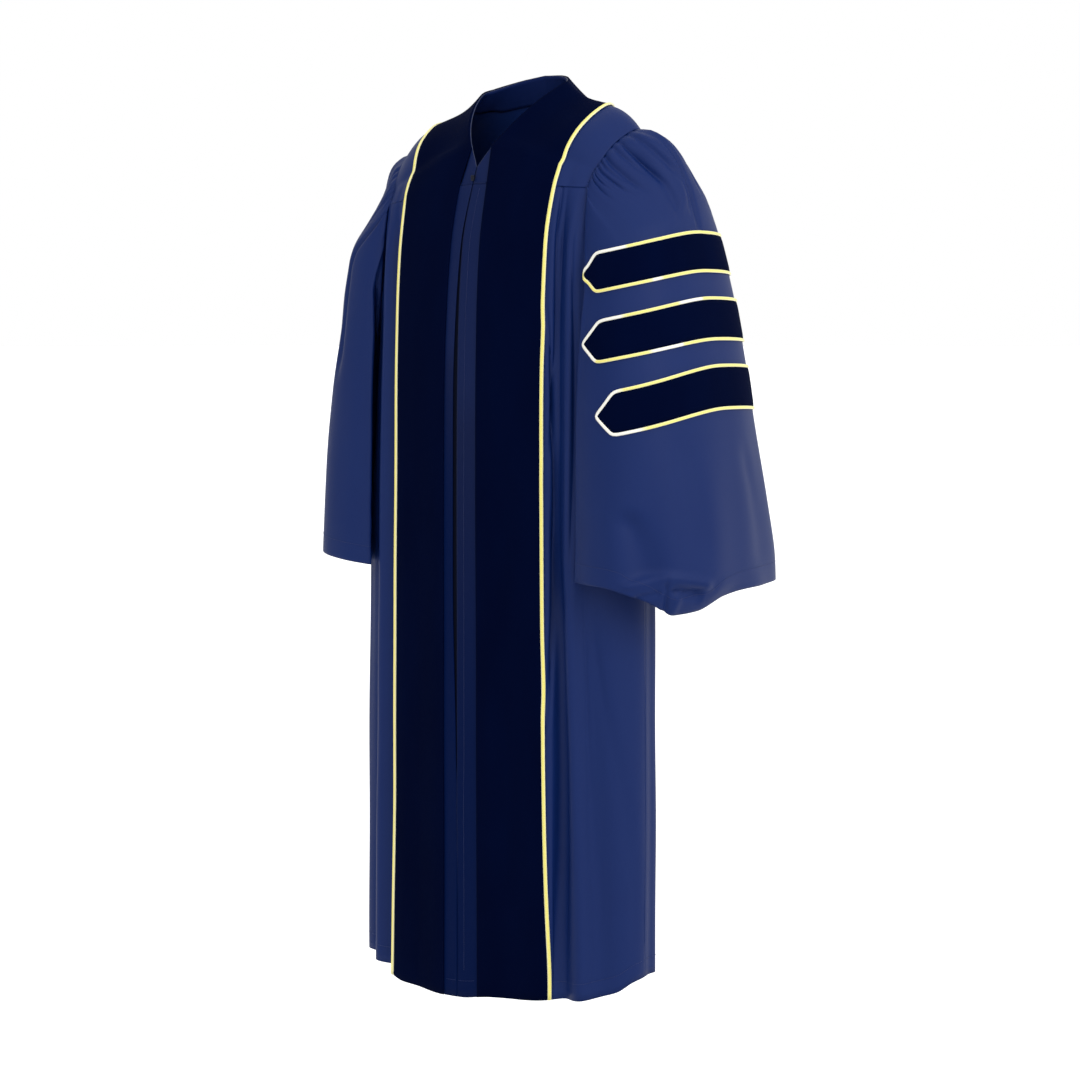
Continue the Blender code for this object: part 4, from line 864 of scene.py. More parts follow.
def round_cord(name, path, size, slot, look, node=None, closed=False, sides=12, white=None):
    """A cord with an oval section, along the centres, sideways and outward directions of its path.

    white gives its share of white, a painted highlight, at each point; both sides of the cord also get a painted
    highlight.
    """
    centres, across, out = (np.array(x, float) for x in path)
    width, height = size
    angle = np.arange(sides) / sides * 2 * math.pi
    hoops = (
        centres[:, None]
        + across[:, None] * (np.cos(angle) * width / 2)[None, :, None]
        + out[:, None] * (height / 2 + np.sin(angle) * height / 2)[None, :, None]
    )
    count = len(centres)
    faces, uv = [], []
    run = run_of(centres)
    for i in range(count if closed else count - 1):
        j = (i + 1) % count
        far = run[i + 1] if i + 1 < count else run[i] + 0.003
        for k in range(sides):
            n = (k + 1) % sides
            faces.append([i * sides + k, i * sides + n, j * sides + n, j * sides + k])
            uv += [(k / sides, run[i]), ((k + 1) / sides, run[i]), ((k + 1) / sides, far), (k / sides, far)]
    if not closed:
        for i, order in ((0, range(sides - 1, -1, -1)), (count - 1, range(sides))):
            faces.append([i * sides + k for k in order])
            uv += [(0.5, run[i])] * sides
    first = hoops[0] - hoops[0].mean(0)
    ahead = hoops[1].mean(0) - hoops[0].mean(0)
    if np.dot(np.cross(first, np.roll(first, -1, axis=0)).sum(0), ahead) < 0:
        faces = [face[::-1] for face in faces]
    found = mesh_of(name, settled(hoops.reshape(-1, 3)), faces, slot, look, node, uv)
    if white is not None:
        # Painted highlight along both sides of the cord
        edge = np.clip((np.abs(np.cos(angle)) - 0.62) / 0.3, 0, 1) * PAINTED_HIGHLIGHT_EDGE
        mark(found, "painted_highlight", np.maximum(np.array(white, float)[:, None], edge[None]))
    return found


# The folded panels

def parts_of(stops, counts):
    """Positions from the first stop to the last, with counts[k] equal steps between two stops."""
    found = [stops[0]]
    for a, b, count in zip(stops, stops[1:], counts):
        found += [a + (b - a) * k / count for k in range(1, count + 1)]
    return found


def hung(columns, shares, ends, place):
    """A grid of cloth: each of its columns runs between two heights, in the given shares of the way."""
    grid = np.zeros((len(shares), len(columns), 3))
    for c, column in enumerate(columns):
        top, low = ends(column)
        for r, share in enumerate(shares):
            grid[r, c] = place(column, top + (low - top) * share)
    return grid


def fine_front(side):
    sign = SIGNS[side]

    def columns(z):
        inner, outer = read(BAND_ROWS, z)
        corner = CORNER_S + 0.010 * ramp((FRONT_SEAM_Z - z) / 0.8)
        stops = (opening_s(side, z), inner, outer, outer + BEYOND_BAND, corner, side_s(z) + SIDE_LAP)
        return parts_of(stops, FRONT_COUNTS)

    tops, lows = columns(SEAM_SECTION_Z), columns(HEM_Z)
    grid = refined(hung(
        range(len(tops)), down_steps(FRONT_ROWS),
        lambda c: (seam_z(tops[c]) - SEAM_JOIN, hem_z(sign * lows[c])), lambda c, z: cloth(sign * columns(z)[c], z),
    ), DOWN, ACROSS)
    out = outward(grid, sign=sign)
    u, v = sign * lengths(grid)[0], grid[..., 2]
    return tucked(grid, out, pressed(u, v, FRONT_CREASES[side]) + ripple(u, v, 3 + sign, 0.00035, 0.16))


def tucked(grid, out, worn):
    """The cloth moved out by its creases. Its top edge turns in at the seam, which leaves a soft groove."""
    grid = grid + out * worn[..., None]
    for row, depth in enumerate(SEAM_TUCK):
        grid[row] -= out[row] * depth
    return grid


def fine_back():
    def place(c, z):
        across = 1 - 2 * c / BACK_COLUMNS
        whole, at_side = back_s(z), side_s(z) - SIDE_LAP
        return (1 if across >= 0 else -1) * (whole - (whole - at_side) * abs(across))

    grid = refined(hung(
        range(BACK_COLUMNS + 1), down_steps(BACK_ROWS),
        lambda c: (seam_z(place(c, SEAM_SECTION_Z)) - SEAM_JOIN, hem_z(place(c, HEM_Z))),
        lambda c, z: cloth(place(c, z), z),
    ), DOWN, BACK_ACROSS)
    u = lengths(grid)[0]
    u -= u[:, -1:] / 2
    v = grid[..., 2]
    down = np.maximum(v[:1] - v, 0.0)
    gathered = np.sin(2 * math.pi * (u / BACK_GATHER_PITCH + 0.35 * np.sin(u * 61) + 0.2 * np.sin(u * 23)))
    gathered *= GATHER_DEPTH * 0.55 * smooth(down / 0.006)
    gathered *= (1 - smooth((down - 0.012) / 0.075)) * (1 - smooth((abs(u) - 0.15) / 0.03))
    return tucked(grid, outward(grid), pressed(u, v, BACK_CREASES) + ripple(u, v, 11, 0.0004, 0.15) + gathered)


def fine_yoke(sign):
    steps = [YOKE_FRONT_STEP * k / STRIP_STEPS for k in range(STRIP_STEPS)]
    steps += list(np.linspace(YOKE_FRONT_STEP, 1.0, YOKE_STEPS_FINE))
    grid = np.zeros((len(steps), sum(YOKE_COUNTS) + 1, 3))
    for r, step in enumerate(steps):
        inner, outer, share, _ = yoke_line(step)
        past = share + BEYOND_BAND / float(np.linalg.norm(outer - inner))
        for c, at in enumerate(parts_of((0.0, share, past, 1.0), YOKE_COUNTS)):
            grid[r, c] = yoke_point(step, at)
    grid[-1, :, 0] = 0.0
    grid[..., 0] *= sign
    grid = refined(grid, YOKE_DOWN, YOKE_ACROSS)
    grid[-1, :, 0] = 0.0
    return grid


def yoke_corner(side, yoke):
    """The small triangle of yoke between the opening, the neckline and the band's inner edge."""
    sign = SIGNS[side]
    rows = STRIP_STEPS * YOKE_DOWN + 1
    seam = cloth(sign * opening_s(side, FRONT_SEAM_Z), FRONT_SEAM_Z)
    low = neck(0.0) * (sign, 1, 1)
    low[0] = sign * opening_s(side, NECK_TOP_Z)
    grid = np.zeros((rows, CORNER_COLUMNS + 1, 3))
    for r in range(rows):
        t = r / (rows - 1)
        if t < OPENING_SHARE:
            left = seam + (low - seam) * (t / OPENING_SHARE)
        else:
            left = neck(BAND_MEETS_NECK * (t - OPENING_SHARE) / (1 - OPENING_SHARE)) * (sign, 1, 1)
            left[0] += low[0] * (1 - ramp((t - OPENING_SHARE) / 0.3))
        grid[r] = left + (yoke[r, 0] - left) * np.arange(CORNER_COLUMNS + 1)[:, None] / CORNER_COLUMNS
    return grid


def fine_sleeve(side):
    """One sleeve, in the left sleeve's own sense."""
    sign = SIGNS[side]
    columns = [k * SLEEVE_OUTER / OUTER_COLUMNS for k in range(OUTER_COLUMNS + 1)]
    columns += [SLEEVE_OUTER + (SLEEVE_INNER + 1) * k / INNER_COLUMNS for k in range(1, INNER_COLUMNS)]
    shares = [0.55 * t + 0.45 * (1 - math.cos(math.pi * t)) / 2 for t in np.linspace(0, 1, SLEEVE_ROWS_FINE)]
    grid = hung(columns, shares, lambda c: sleeve_span(sign, c), lambda c, z: sleeve_point(sign, c, z))
    grid[0] = [sleeve_column(sign, column)[2] for column in columns]
    grid = refined(grid, SLEEVE_DOWN, SLEEVE_ACROSS, closed=True)
    at = np.arange(grid.shape[1]) / SLEEVE_ACROSS
    outer = at <= OUTER_COLUMNS
    turn = np.where(outer, turn_of(np.minimum(at, OUTER_COLUMNS) * SLEEVE_OUTER / OUTER_COLUMNS), 0.0)
    v = grid[..., 2]
    turn = np.broadcast_to(turn, v.shape)
    down = np.maximum(v[:1] - v, 0.0)
    u = turn * TURN_LENGTH

    def beyond(start, span):
        return 1 - smooth((abs(turn) - start) / span)

    head = pressed(u, -down, SLEEVE_GATHERS[side]) * (0.30 + 0.70 * smooth(down / 0.008))
    head += HEAD_PUFF * smooth(down / 0.010) * (1 - smooth((down - 0.016) / 0.060)) * beyond(0.45, 0.35)
    gathered = np.sin(2 * math.pi * (u / HEAD_GATHER_PITCH + 0.4 * np.sin(u * 70))) * smooth(down / 0.003)
    head += GATHER_DEPTH * 0.16 * gathered * (1 - smooth((down - 0.008) / 0.035)) * beyond(0.50, 0.25)
    worn = head + pressed(u, v, SLEEVE_CREASES[side]) + ripple(u, v, 23 + sign, 0.00035, 0.15)
    return tucked(grid, outward(grid, closed=True), worn * outer)


def on_fine(grid, column, z):
    """A point of a fine sleeve between two of its columns, where its outer cloth has this height."""
    at = column * OUTER_COLUMNS / SLEEVE_OUTER * SLEEVE_ACROSS
    a = int(min(max(at, 0), grid.shape[1] - 2))
    first, second = (at_run(line, line[:, 2], z) for line in (grid[::-1, a], grid[::-1, a + 1]))
    return first + (second - first) * (at - a)


def lifted(grid, column, z, away, sign):
    """That point moved out from the cloth, and its outward direction."""
    along = on_fine(grid, column + 0.25, z) - on_fine(grid, column - 0.25, z)
    down = on_fine(grid, column, z - 0.004) - on_fine(grid, column, z + 0.004)
    out = unit(np.cross(down, along))
    return (on_fine(grid, column, z) + out * away) * (sign, 1, 1), out * (sign, 1, 1)


def bar_ends(sign, bar, grid):
    """The first and last column of a bar, and how many columns its points take."""
    first, last = column_of(bar[4] if sign == 1 else RIGHT_BAR_TURN), column_of(BAR_BACK_TURN)
    reach = []
    for end, way in ((first, 1), (last, -1)):
        z = bar_centre(bar, turn_of(end))
        reach.append(BAR_POINT / float(np.linalg.norm(on_fine(grid, end, z) - on_fine(grid, end + way, z))))
    return first, last, reach


def fine_bar(sign, bar, grid):
    """A pointed velvet bar round the outside of a sleeve."""
    first, last, reach = bar_ends(sign, bar, grid)
    columns = parts_of((first, first + reach[0], last - reach[1], last), BAR_COUNTS[sign])
    points = np.zeros((BAR_LEVELS, len(columns), 3))
    for c, column in enumerate(columns):
        half = min((column - first) / reach[0], (last - column) / reach[1], 1.0) * bar[5] / 2
        centre = bar_centre(bar, turn_of(column))
        for r, level in enumerate(np.linspace(1, -1, BAR_LEVELS)):
            edge = BAR_EDGE_DROP * smooth((abs(level) - 0.75) / 0.25)
            points[r, c] = lifted(grid, column, centre + level * half, BAR_AWAY - edge, sign)[0]
    return points


def fine_bar_piping(sign, bar, grid):
    """The path of the piping round a bar, and how much painted highlight whitens it along the way."""
    first, last, reach = bar_ends(sign, bar, grid)
    clear = BAR_PIPING_SIZE[0] / 2 + PIPING_CLEAR
    side = clear / BAR_POINT * reach[0]
    front, rear = first + reach[0] - side * 0.35, last - reach[1] + side * 0.35
    corners = (
        (first - side * 1.35, 0.0), (front, 1.0), (rear, 1.0), (last + side * 1.35, 0.0), (rear, -1.0), (front, -1.0),
    )
    path = []
    for (column, level), (next_column, next_level) in zip(corners, corners[1:] + corners[:1]):
        count = BAR_PIPING_COUNTS[sign][level == next_level]
        for t in np.arange(count) / count:
            path.append((column + (next_column - column) * t, level + (next_level - level) * t))
    path = np.array(path)
    for _ in range(2):
        path = path * 0.5 + (np.roll(path, 1, axis=0) + np.roll(path, -1, axis=0)) * 0.25
    found = []
    for column, level in path:
        z = bar_centre(bar, turn_of(column)) + level * (bar[5] / 2 + clear)
        found.append(lifted(grid, column, z, PIPING_AWAY, sign))
    centres, out = (np.array(x) for x in zip(*found))
    along = np.roll(centres, -1, axis=0) - np.roll(centres, 1, axis=0)
    return (centres, unit(np.cross(along, out)), out), [painted_highlight_at(bar[0], *at) for at in path]


def painted_highlight_at(name, column, level):
    """How far the piping's yellow is painted white at a point of a bar's loop: a painted highlight."""
    total = 0.0
    for bar, low_level, high_level, from_column, to_column in PAINTED_HIGHLIGHT_ROWS:
        if bar == name and low_level <= level <= high_level:
            total = max(total, smooth((column - from_column) / 0.35 + 0.5) * smooth((to_column - column) / 0.35 + 0.5))
    return total


def fine_band(side, front, yoke):
    """A velvet band from the centre back over the shoulder and down the front to the hem."""
    sign = SIGNS[side]
    shape = np.linspace(0, 1, BAND_COLUMNS + 1)

    def strip(grid, start, count, out):
        part = (grid + out * BAND_AWAY)[:, start:start + count + 1]
        old = np.linspace(0, 1, count + 1)
        return np.array([[np.interp(shape, old, row[:, k]) for k in range(3)] for row in part]).transpose(0, 2, 1)

    upper = strip(yoke[::-1], 0, YOKE_COUNTS[0] * YOKE_ACROSS, outward(yoke, sign=-sign)[::-1])
    upper[0, :, 0] = sign * CENTRE_CLEAR
    lower = strip(front, FRONT_COUNTS[0] * ACROSS, FRONT_COUNTS[1] * ACROSS, outward(front, sign=sign))
    grid = np.concatenate([upper[:-2], lower[2:]])
    join = len(upper) - 2
    near = np.r_[join - 4:join, join + 3:join + 7]
    middle = np.arange(join, join + 3)
    for c in range(len(shape)):
        grid[middle, c] = np.stack([np.interp(middle, near, grid[near, c, k]) for k in range(3)], 1)
    return grid


def beside_band(side, front, yoke):
    """The path of the piping beside a band, from the hem to the centre back."""
    sign = SIGNS[side]
    share = (BAND_PIPING_SIZE[0] / 2 + 0.0003) / BEYOND_BAND
    path = [[], [], []]
    edge_front = (FRONT_COUNTS[0] + FRONT_COUNTS[1]) * ACROSS
    for grid, away, edge, step, rows in (
        (front[::-1], outward(front, sign=sign)[::-1], edge_front, FRONT_COUNTS[2] * ACROSS, slice(0, -2)),
        (yoke, outward(yoke, sign=-sign), YOKE_COUNTS[0] * YOKE_ACROSS, YOKE_COUNTS[1] * YOKE_ACROSS, slice(2, None)),
    ):
        a, b = grid[rows, edge], grid[rows, edge + step]
        up = unit(away[rows, edge] + away[rows, edge + step])
        for line, found in zip(path, (a + (b - a) * share + up * PIPING_AWAY, unit(b - a), up)):
            line.append(found)
    path = [np.concatenate(line) for line in path]
    path[0][-1, 0] = sign * CENTRE_CLEAR
    join = len(front) - 2
    for _ in range(30):
        for line in path:
            near = line[join - 10:join + 10]
            near[1:-1] += 0.5 * ((near[:-2] + near[2:]) / 2 - near[1:-1])
    return path


# Facing, binding and zip

def inner_neck(yokes):
    """The yoke's back part, in from the neckline, from the wearer's left round to the right."""
    last = YOKE_COUNTS[0] * YOKE_ACROSS // 2 + 1
    first = STRIP_STEPS * YOKE_DOWN + int(FACING_FROM_STEP * (YOKE_STEPS_FINE - 1)) * YOKE_DOWN
    left, right = (
        (yokes[side] - outward(yokes[side], sign=-sign) * FACING_AWAY)[first:, :last] for side, sign in SIGNS.items()
    )
    return np.concatenate([left[:-1], (left[-1:] + right[-1:]) / 2, right[-2::-1]])


def neck_edge(side, yoke):
    """The neckline from the opening to the centre back, with the ways across and out of the cloth."""
    corner = yoke_corner(side, yoke)
    low = len(corner) - 1
    first = next(r for r in range(low + 1) if r / low >= OPENING_SHARE)
    edge, inner = (np.concatenate([corner[first:-1, k], yoke[low:, k]]) for k in (0, 1))
    inward = unit(inner - edge)
    edge[-1, 0] = 0.0
    up = outward(yoke, sign=-SIGNS[side])[first:, 0]
    return edge - up * (BINDING_SIZE[1] / 2), inward, up


def zip_sheet(left, right):
    """The zip's tape, behind the closed edges of the two fronts. It keeps its width where they gape."""
    rows = [r for r in range(len(left)) if left[r, 0, 2] > ZIP_END_Z]
    share = np.linspace(0, 1, 5)[None, :, None]
    starts, ways = [], []
    for grid, sign in ((right, -1), (left, 1)):
        starts.append((grid - outward(grid, sign=sign) * FACING_AWAY)[rows, 0])
        ways.append(unit(grid[rows, 3] - grid[rows, 0]))
    half = ZIP_HALF_WIDTH - np.linalg.norm(starts[1] - starts[0], axis=1)[:, None, None] / 2
    halves = [start[:, None] + way[:, None] * half * share for start, way in zip(starts, ways)]
    return np.concatenate([halves[0][:, :0:-1], (halves[0][:, :1] + halves[1][:, :1]) / 2, halves[1][:, 1:]], 1)


def zip_teeth(tape):
    """The coil of the concealed zip, on the side of the tape towards the wearer."""
    middle = tape.shape[1] // 2
    line = tape[:, middle]
    out = outward(tape)[:, middle]
    run = run_of(line)
    wide, high, long = TOOTH_SIZE
    points, faces = [], []
    for k, at in enumerate(np.arange(TEETH_FROM, run[-1] - TEETH_FROM, TOOTH_PITCH)):
        up = -at_run(out, run, at)
        centre = at_run(line, run, at) + up * (FACING_WALL / 2 + high * 0.45)
        shift = (1 if k % 2 else -1) * wide * 0.16
        for level, size in ((-1, 0.5), (1, 0.39)):
            for x, z in ((-size, -size), (size, -size), (size, size), (-size, size)):
                points.append(centre + up * level * high / 2 + np.array([x * wide + shift, 0, z * long]))
        first = 8 * k
        faces += [(first + 3, first + 2, first + 1, first), (first + 4, first + 5, first + 6, first + 7)]
        faces += [(first + i, first + (i + 1) % 4, first + 4 + (i + 1) % 4, first + 4 + i) for i in range(4)]
    return settled(points), faces


# Stitches

def stitches(name, lines, slot, look):
    """Short raised threads along lines on the cloth. Each line is its points and their outward directions."""
    points, faces = [], []
    for line, out in lines:
        line = settled(line)
        run = run_of(line)
        for at in np.arange(0, run[-1] - STITCH_PITCH, STITCH_PITCH):
            start, up = at_run(line, run, at), at_run(out, run, at)
            along = at_run(line, run, at + STITCH_PITCH * STITCH_SHARE) - start
            length = np.linalg.norm(along)
            if length < STITCH_PITCH * 0.2:
                continue
            side = np.cross(along / length, up) * (STITCH_SIZE / 2)
            first = len(points)
            for far, wide, high in ((0.0, 0.25, 0.0), (0.3, 1.0, 1.0), (0.7, 1.0, 1.0), (1.0, 0.25, 0.0)):
                middle = start + along * far + up * (high * STITCH_SIZE * 0.7)
                points += [middle - side * wide, middle + side * wide]
            base = len(points)
            points.append(start + along * 0.5 - up * STITCH_SIZE * 0.4)
            for a in range(first, first + 6, 2):
                faces += [(a, a + 1, a + 3, a + 2), (a, a + 2, base), (a + 3, a + 1, base)]
            faces += [(first + 1, first, base), (first + 6, first + 7, base)]
    return mesh_of(name, points, faces, slot, look)


# Materials

class Look:
    """The nodes of a material or a world, built one at a time."""

    def __init__(self, made, shader="Principled BSDF"):
        made.use_nodes = True
        self.made = made
        self.tree = made.node_tree
        self.shader = self.tree.nodes[shader]

    def fill(self, found, values):
        """Each input gets its value, or a link from another node."""
        for key, value in dict(values).items():
            if isinstance(value, bpy.types.NodeSocket):
                self.tree.links.new(value, found.inputs[key])
            else:
                found.inputs[key].default_value = value

    def node(self, kind, values=(), **settings):
        found = self.tree.nodes.new("ShaderNode" + kind)
        for key, value in settings.items():
            setattr(found, key, value)
        self.fill(found, values)
        return found

    def set(self, **values):
        self.fill(self.shader, {key.replace("_", " "): value for key, value in values.items()})

    def mix(self, share, low, high):
        return self.node("Mix", {0: share, 6: low, 7: high}, data_type="RGBA").outputs[2]

    def noise(self, place, scale, detail, stretch=None, **more):
        if stretch:
            place = self.node("Mapping", {"Vector": place, "Scale": stretch}).outputs[0]
        return self.node("TexNoise", {"Vector": place, "Scale": scale, "Detail": detail, **more}).outputs["Fac"]

    def bands(self, place, direction, **values):
        return self.node(
            "TexWave", {"Vector": place, **values}, wave_type="BANDS", bands_direction=direction,
        ).outputs["Fac"]

    def bump(self, height, strength, distance, **more):
        return self.node("Bump", {"Height": height, "Strength": strength, "Distance": distance, **more}).outputs[0]


def woven(name, dark, light, rough, specular, sheen, pitch, depth, strips=False):
    """A plain weave: two crossed sets of threads, slight colour variation and a soft sheen. With strips it also takes
    painted shade from an attribute: a darker colour and less shine.
    """
    look = Look(bpy.data.materials.new(name))
    place = look.node("UVMap", uv_map="cloth").outputs[0]
    solid = look.node("TexCoord").outputs["Object"]
    warp, weft = (look.bands(place, way, Scale=0.157 / pitch, Distortion=0.6, Detail=1.0) for way in "XY")
    threads = look.node("Math", {0: warp, 1: weft}, operation="MAXIMUM").outputs[0]
    cloud = look.noise(solid, 9.0, 4.0, Roughness=0.55)
    slub = look.noise(place, 1.0, 2.0, (900.0, 45.0, 1.0))
    share = look.node("Math", {0: cloud, 1: slub, 2: 0.25}, operation="MULTIPLY_ADD").outputs[0]
    tone = look.mix(share, (*dark, 1), (*light, 1))
    # Painted shade on the strips: the shade attribute darkens the colour and lowers the shine
    if strips:
        shade = look.node("Attribute", attribute_name="shade").outputs["Fac"]
        shine = look.node("MapRange", {"Value": shade, 3: specular, 4: specular * PAINTED_SHADE_SHINE})
        share = look.node("MapRange", {"Value": shade, 2: PAINTED_SHADE_START, 4: PAINTED_SHADE_FULL}, clamp=False)
        tone = look.mix(share.outputs[0], tone, (*(x * PAINTED_SHADE_TONE for x in dark), 1))
        specular = shine.outputs[0]
    look.set(Base_Color=tone, Roughness=rough, Specular_IOR_Level=specular)
    look.set(Sheen_Weight=sheen, Sheen_Roughness=0.45, Sheen_Tint=(0.62, 0.68, 0.85, 1.0))
    look.set(Normal=look.bump(cloud, 0.25, 0.0012, Normal=look.bump(threads, depth, 0.00012)))
    return look.made


def pile(name, deep, raised):
    """Velvet: short dense pile, nearly black face on and bluer where it is brushed."""
    look = Look(bpy.data.materials.new(name))
    place = look.node("TexCoord").outputs["Object"]
    brushed = look.noise(place, 1.0, 3.0, (14.0, 14.0, 5.0))
    fibre = look.noise(place, 2600.0, 2.0)
    look.set(Base_Color=look.mix(brushed, (*deep, 1), (*raised, 1)), Roughness=0.95, Specular_IOR_Level=0.02)
    look.set(Sheen_Weight=0.016, Sheen_Roughness=0.30, Sheen_Tint=(0.25, 0.35, 0.9, 1.0))
    look.set(Normal=look.bump(fibre, 0.5, 0.0003))
    return look.made


def satin(name, yellow, white):
    """Satin over a cord: a fine twisted thread line, yellow, with nearly white stretches that are painted highlights.
    """
    look = Look(bpy.data.materials.new(name))
    place = look.node("UVMap", uv_map="cloth").outputs[0]
    slant = look.node("Mapping", {"Vector": place, "Scale": (1.0, 420.0, 1.0)}).outputs[0]
    wave = look.bands(slant, "DIAGONAL", Scale=0.5, Distortion=1.5)
    # Painted highlight: the yellow turns white where the attribute asks
    painted_highlight = look.node("Attribute", attribute_name="painted_highlight").outputs["Fac"]
    tone = look.mix(painted_highlight, (*yellow, 1), (*white, 1))
    look.set(Base_Color=look.mix(0.12, tone, look.mix(wave, (*white, 1), tone)), Roughness=0.34)
    look.set(Specular_IOR_Level=0.6, Sheen_Weight=0.3, Sheen_Roughness=0.3, Normal=look.bump(wave, 0.3, 0.0002))
    return look.made


GOWN = ((0.0010, 0.0130, 0.0960), (0.0018, 0.0185, 0.1150), 0.56, 0.22, 0.0, 0.00055, 0.35)
CLOTH = woven("cloth", *GOWN)
# The fronts and the yoke, with painted shade on the strips beside the opening
STRIP_PAINTED_SHADE_CLOTH = woven("strip_painted_shade_cloth", *GOWN, strips=True)
EDGE_CLOTH = woven("edge_cloth", (0.006, 0.013, 0.055), (0.009, 0.018, 0.070), 0.55, 0.5, 0.1, 0.00055, 0.3)
FACING_CLOTH = woven("facing_cloth", (0.0014, 0.009, 0.066), (0.0024, 0.013, 0.086), 0.70, 0.12, 0.0, 0.0005, 0.3)
# The zip tape's own dark navy, darkened further as painted shade for the recess behind the opening's gap
TAPE_CLOTH_AND_PAINTED_SHADE = woven("tape_cloth", (0.0006, 0.0016, 0.008), (0.0010, 0.0026, 0.012), 0.85, 0.08, 0.0, 0.0008, 0.5)
VELVET_PILE = pile("velvet_pile", (0.0001, 0.0014, 0.0135), (0.0003, 0.0030, 0.0240))
SATIN = satin("satin", (0.94, 0.84, 0.165), (0.97, 0.95, 0.86))
THREAD = woven("thread", (0.010, 0.022, 0.110), (0.018, 0.034, 0.150), 0.50, 0.4, 0.1, 0.0004, 0.2)
METAL = Look(bpy.data.materials.new("dark_metal"))
METAL.set(Base_Color=(0.012, 0.014, 0.024, 1.0), Metallic=0.6, Roughness=0.38)


# The pieces, and what is sewn to each of them

made, made_with = {}, {}
fronts = {side: fine_front(side) for side in SIGNS}
yokes = {side: fine_yoke(sign) for side, sign in SIGNS.items()}
sleeves = {side: fine_sleeve(side) for side in SIGNS}
back = fine_back()

for side, sign in SIGNS.items():
    front, yoke, sleeve, flip = fronts[side], yokes[side], sleeves[side], sign == 1
    shell("front_" + side, "_cloth", [front], "gown_cloth", STRIP_PAINTED_SHADE_CLOTH, flip=flip)
    shell("sleeve_" + side, "_cloth", [sleeve * (sign, 1, 1)], "gown_cloth", CLOTH, closed=True, flip=flip)
    shell("band_" + side, "_velvet", [fine_band(side, front, yoke)], "velvet", VELVET_PILE, VELVET, flip=flip)
    path = beside_band(side, front, yoke)
    made_with["band_" + side] = [round_cord(
        f"band_piping_{side}_satin", path, BAND_PIPING_SIZE, "piping_satin", SATIN, "band_piping_" + side,
        white=np.zeros(len(path[0])),
    )]
    for bar in BARS:
        node, piping = f"bar_{bar[0]}_{side}", f"bar_piping_{bar[0]}_{side}"
        shell(node, "_velvet", [fine_bar(sign, bar, sleeve)], "velvet", VELVET_PILE, VELVET, flip=flip)
        # Painted highlight stretches on the left sleeve's bar pipings only
        path, painted_highlight = fine_bar_piping(sign, bar, sleeve)
        made_with[node] = [round_cord(
            piping + "_satin", path, BAR_PIPING_SIZE, "piping_satin", SATIN, piping, closed=True, sides=10,
            white=painted_highlight if sign == 1 else np.zeros(len(painted_highlight)),
        )]

shell("back", "_cloth", [back], "gown_cloth", CLOTH, flip=True)
yoke_grids, flips = [], []
for side, sign in SIGNS.items():
    yoke_grids += [yokes[side], yoke_corner(side, yokes[side])]
    flips += [sign == -1, sign == 1]
shell("yoke", "_cloth", yoke_grids, "gown_cloth", STRIP_PAINTED_SHADE_CLOTH, flip=flips)
shell("neck_facing", "_cloth", [inner_neck(yokes)], "neck_facing_cloth", FACING_CLOTH, FACING_WALL, flip=True)
tape = zip_sheet(fronts["left"], fronts["right"])
shell("zip_tape", "_cloth", [tape], "zip_tape_cloth", TAPE_CLOTH_AND_PAINTED_SHADE, FACING_WALL)
made_with["zip_tape"] = [mesh_of("zip_teeth", *zip_teeth(tape), "zip_tape_cloth", TAPE_CLOTH_AND_PAINTED_SHADE)]
made_with["yoke"] = [
    round_cord(f"neck_binding_{side}", neck_edge(side, yokes[side]), BINDING_SIZE, "gown_cloth", EDGE_CLOTH, sides=8)
    for side in SIGNS
]
for material_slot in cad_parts["zip_slider"].material_slots:
    material_slot.material = METAL.made


# Lines of stitches: the hem, the cuffs and the placket beside the zip

def level_line(grid, out, height, columns):
    """A line round the cloth at a height above its lower edge."""
    line, ways = [], []
    for c in columns:
        run = run_of(grid[::-1, c])
        line.append(at_run(grid[::-1, c], run, height))
        ways.append(at_run(out[::-1, c], run, height))
    line, ways = np.array(line), np.array(ways)
    return line + ways * (WALL / 2), ways


lines = []
for side, sign in SIGNS.items():
    grid, out = fronts[side], outward(fronts[side], sign=sign)
    first = sum(FRONT_COUNTS[:3]) * ACROSS + 1
    for columns in (range(first, grid.shape[1] - 1), range(1, FRONT_COUNTS[0] * ACROSS)):
        lines.append(level_line(grid, out, HEM_DEPTH, columns))
    grid, out = sleeves[side] * (sign, 1, 1), outward(sleeves[side], closed=True) * (sign, 1, 1)
    lines.append(level_line(grid, out, CUFF_DEPTH, [*range(grid.shape[1]), 0]))
lines.append(level_line(back, outward(back), HEM_DEPTH, range(1, back.shape[1] - 1)))
grid, out = fronts["left"], outward(fronts["left"])
rows = [r for r in range(2, len(grid)) if grid[r, 0, 2] > ZIP_END_Z]
across = lengths(grid)[0]
placket = np.array([at_run(grid[r, :12], across[r, :12], PLACKET_WIDTH) for r in rows])
lines.append((placket + out[rows, 2] * (WALL / 2), out[rows, 2]))
made_with["back"] = [stitches("cloth_stitches", lines, "gown_cloth", THREAD)]

# Painted shade: the strips beside the opening are darker and duller, more so towards the hem, and the yoke's corners
# above them are shaded as at the strips' top
edge = FRONT_COUNTS[0] * ACROSS + 1
for side, (start, span) in PAINTED_SHADE_DOWN.items():
    grid = fronts[side]
    shade = np.zeros(grid.shape[:2])
    high = 1 - np.clip((-grid[:, :edge, 2] - start) / span, 0, 1)
    shade[:, :edge] = 1 - (1 - PAINTED_SHADE_START) * high ** 2
    mark(made["front_" + side], "shade", shade)
mark(made["yoke"], "shade", np.concatenate([
    np.full(grid.shape[0] * grid.shape[1], PAINTED_SHADE_START * (number % 2)) for number, grid in enumerate(yoke_grids)
]))

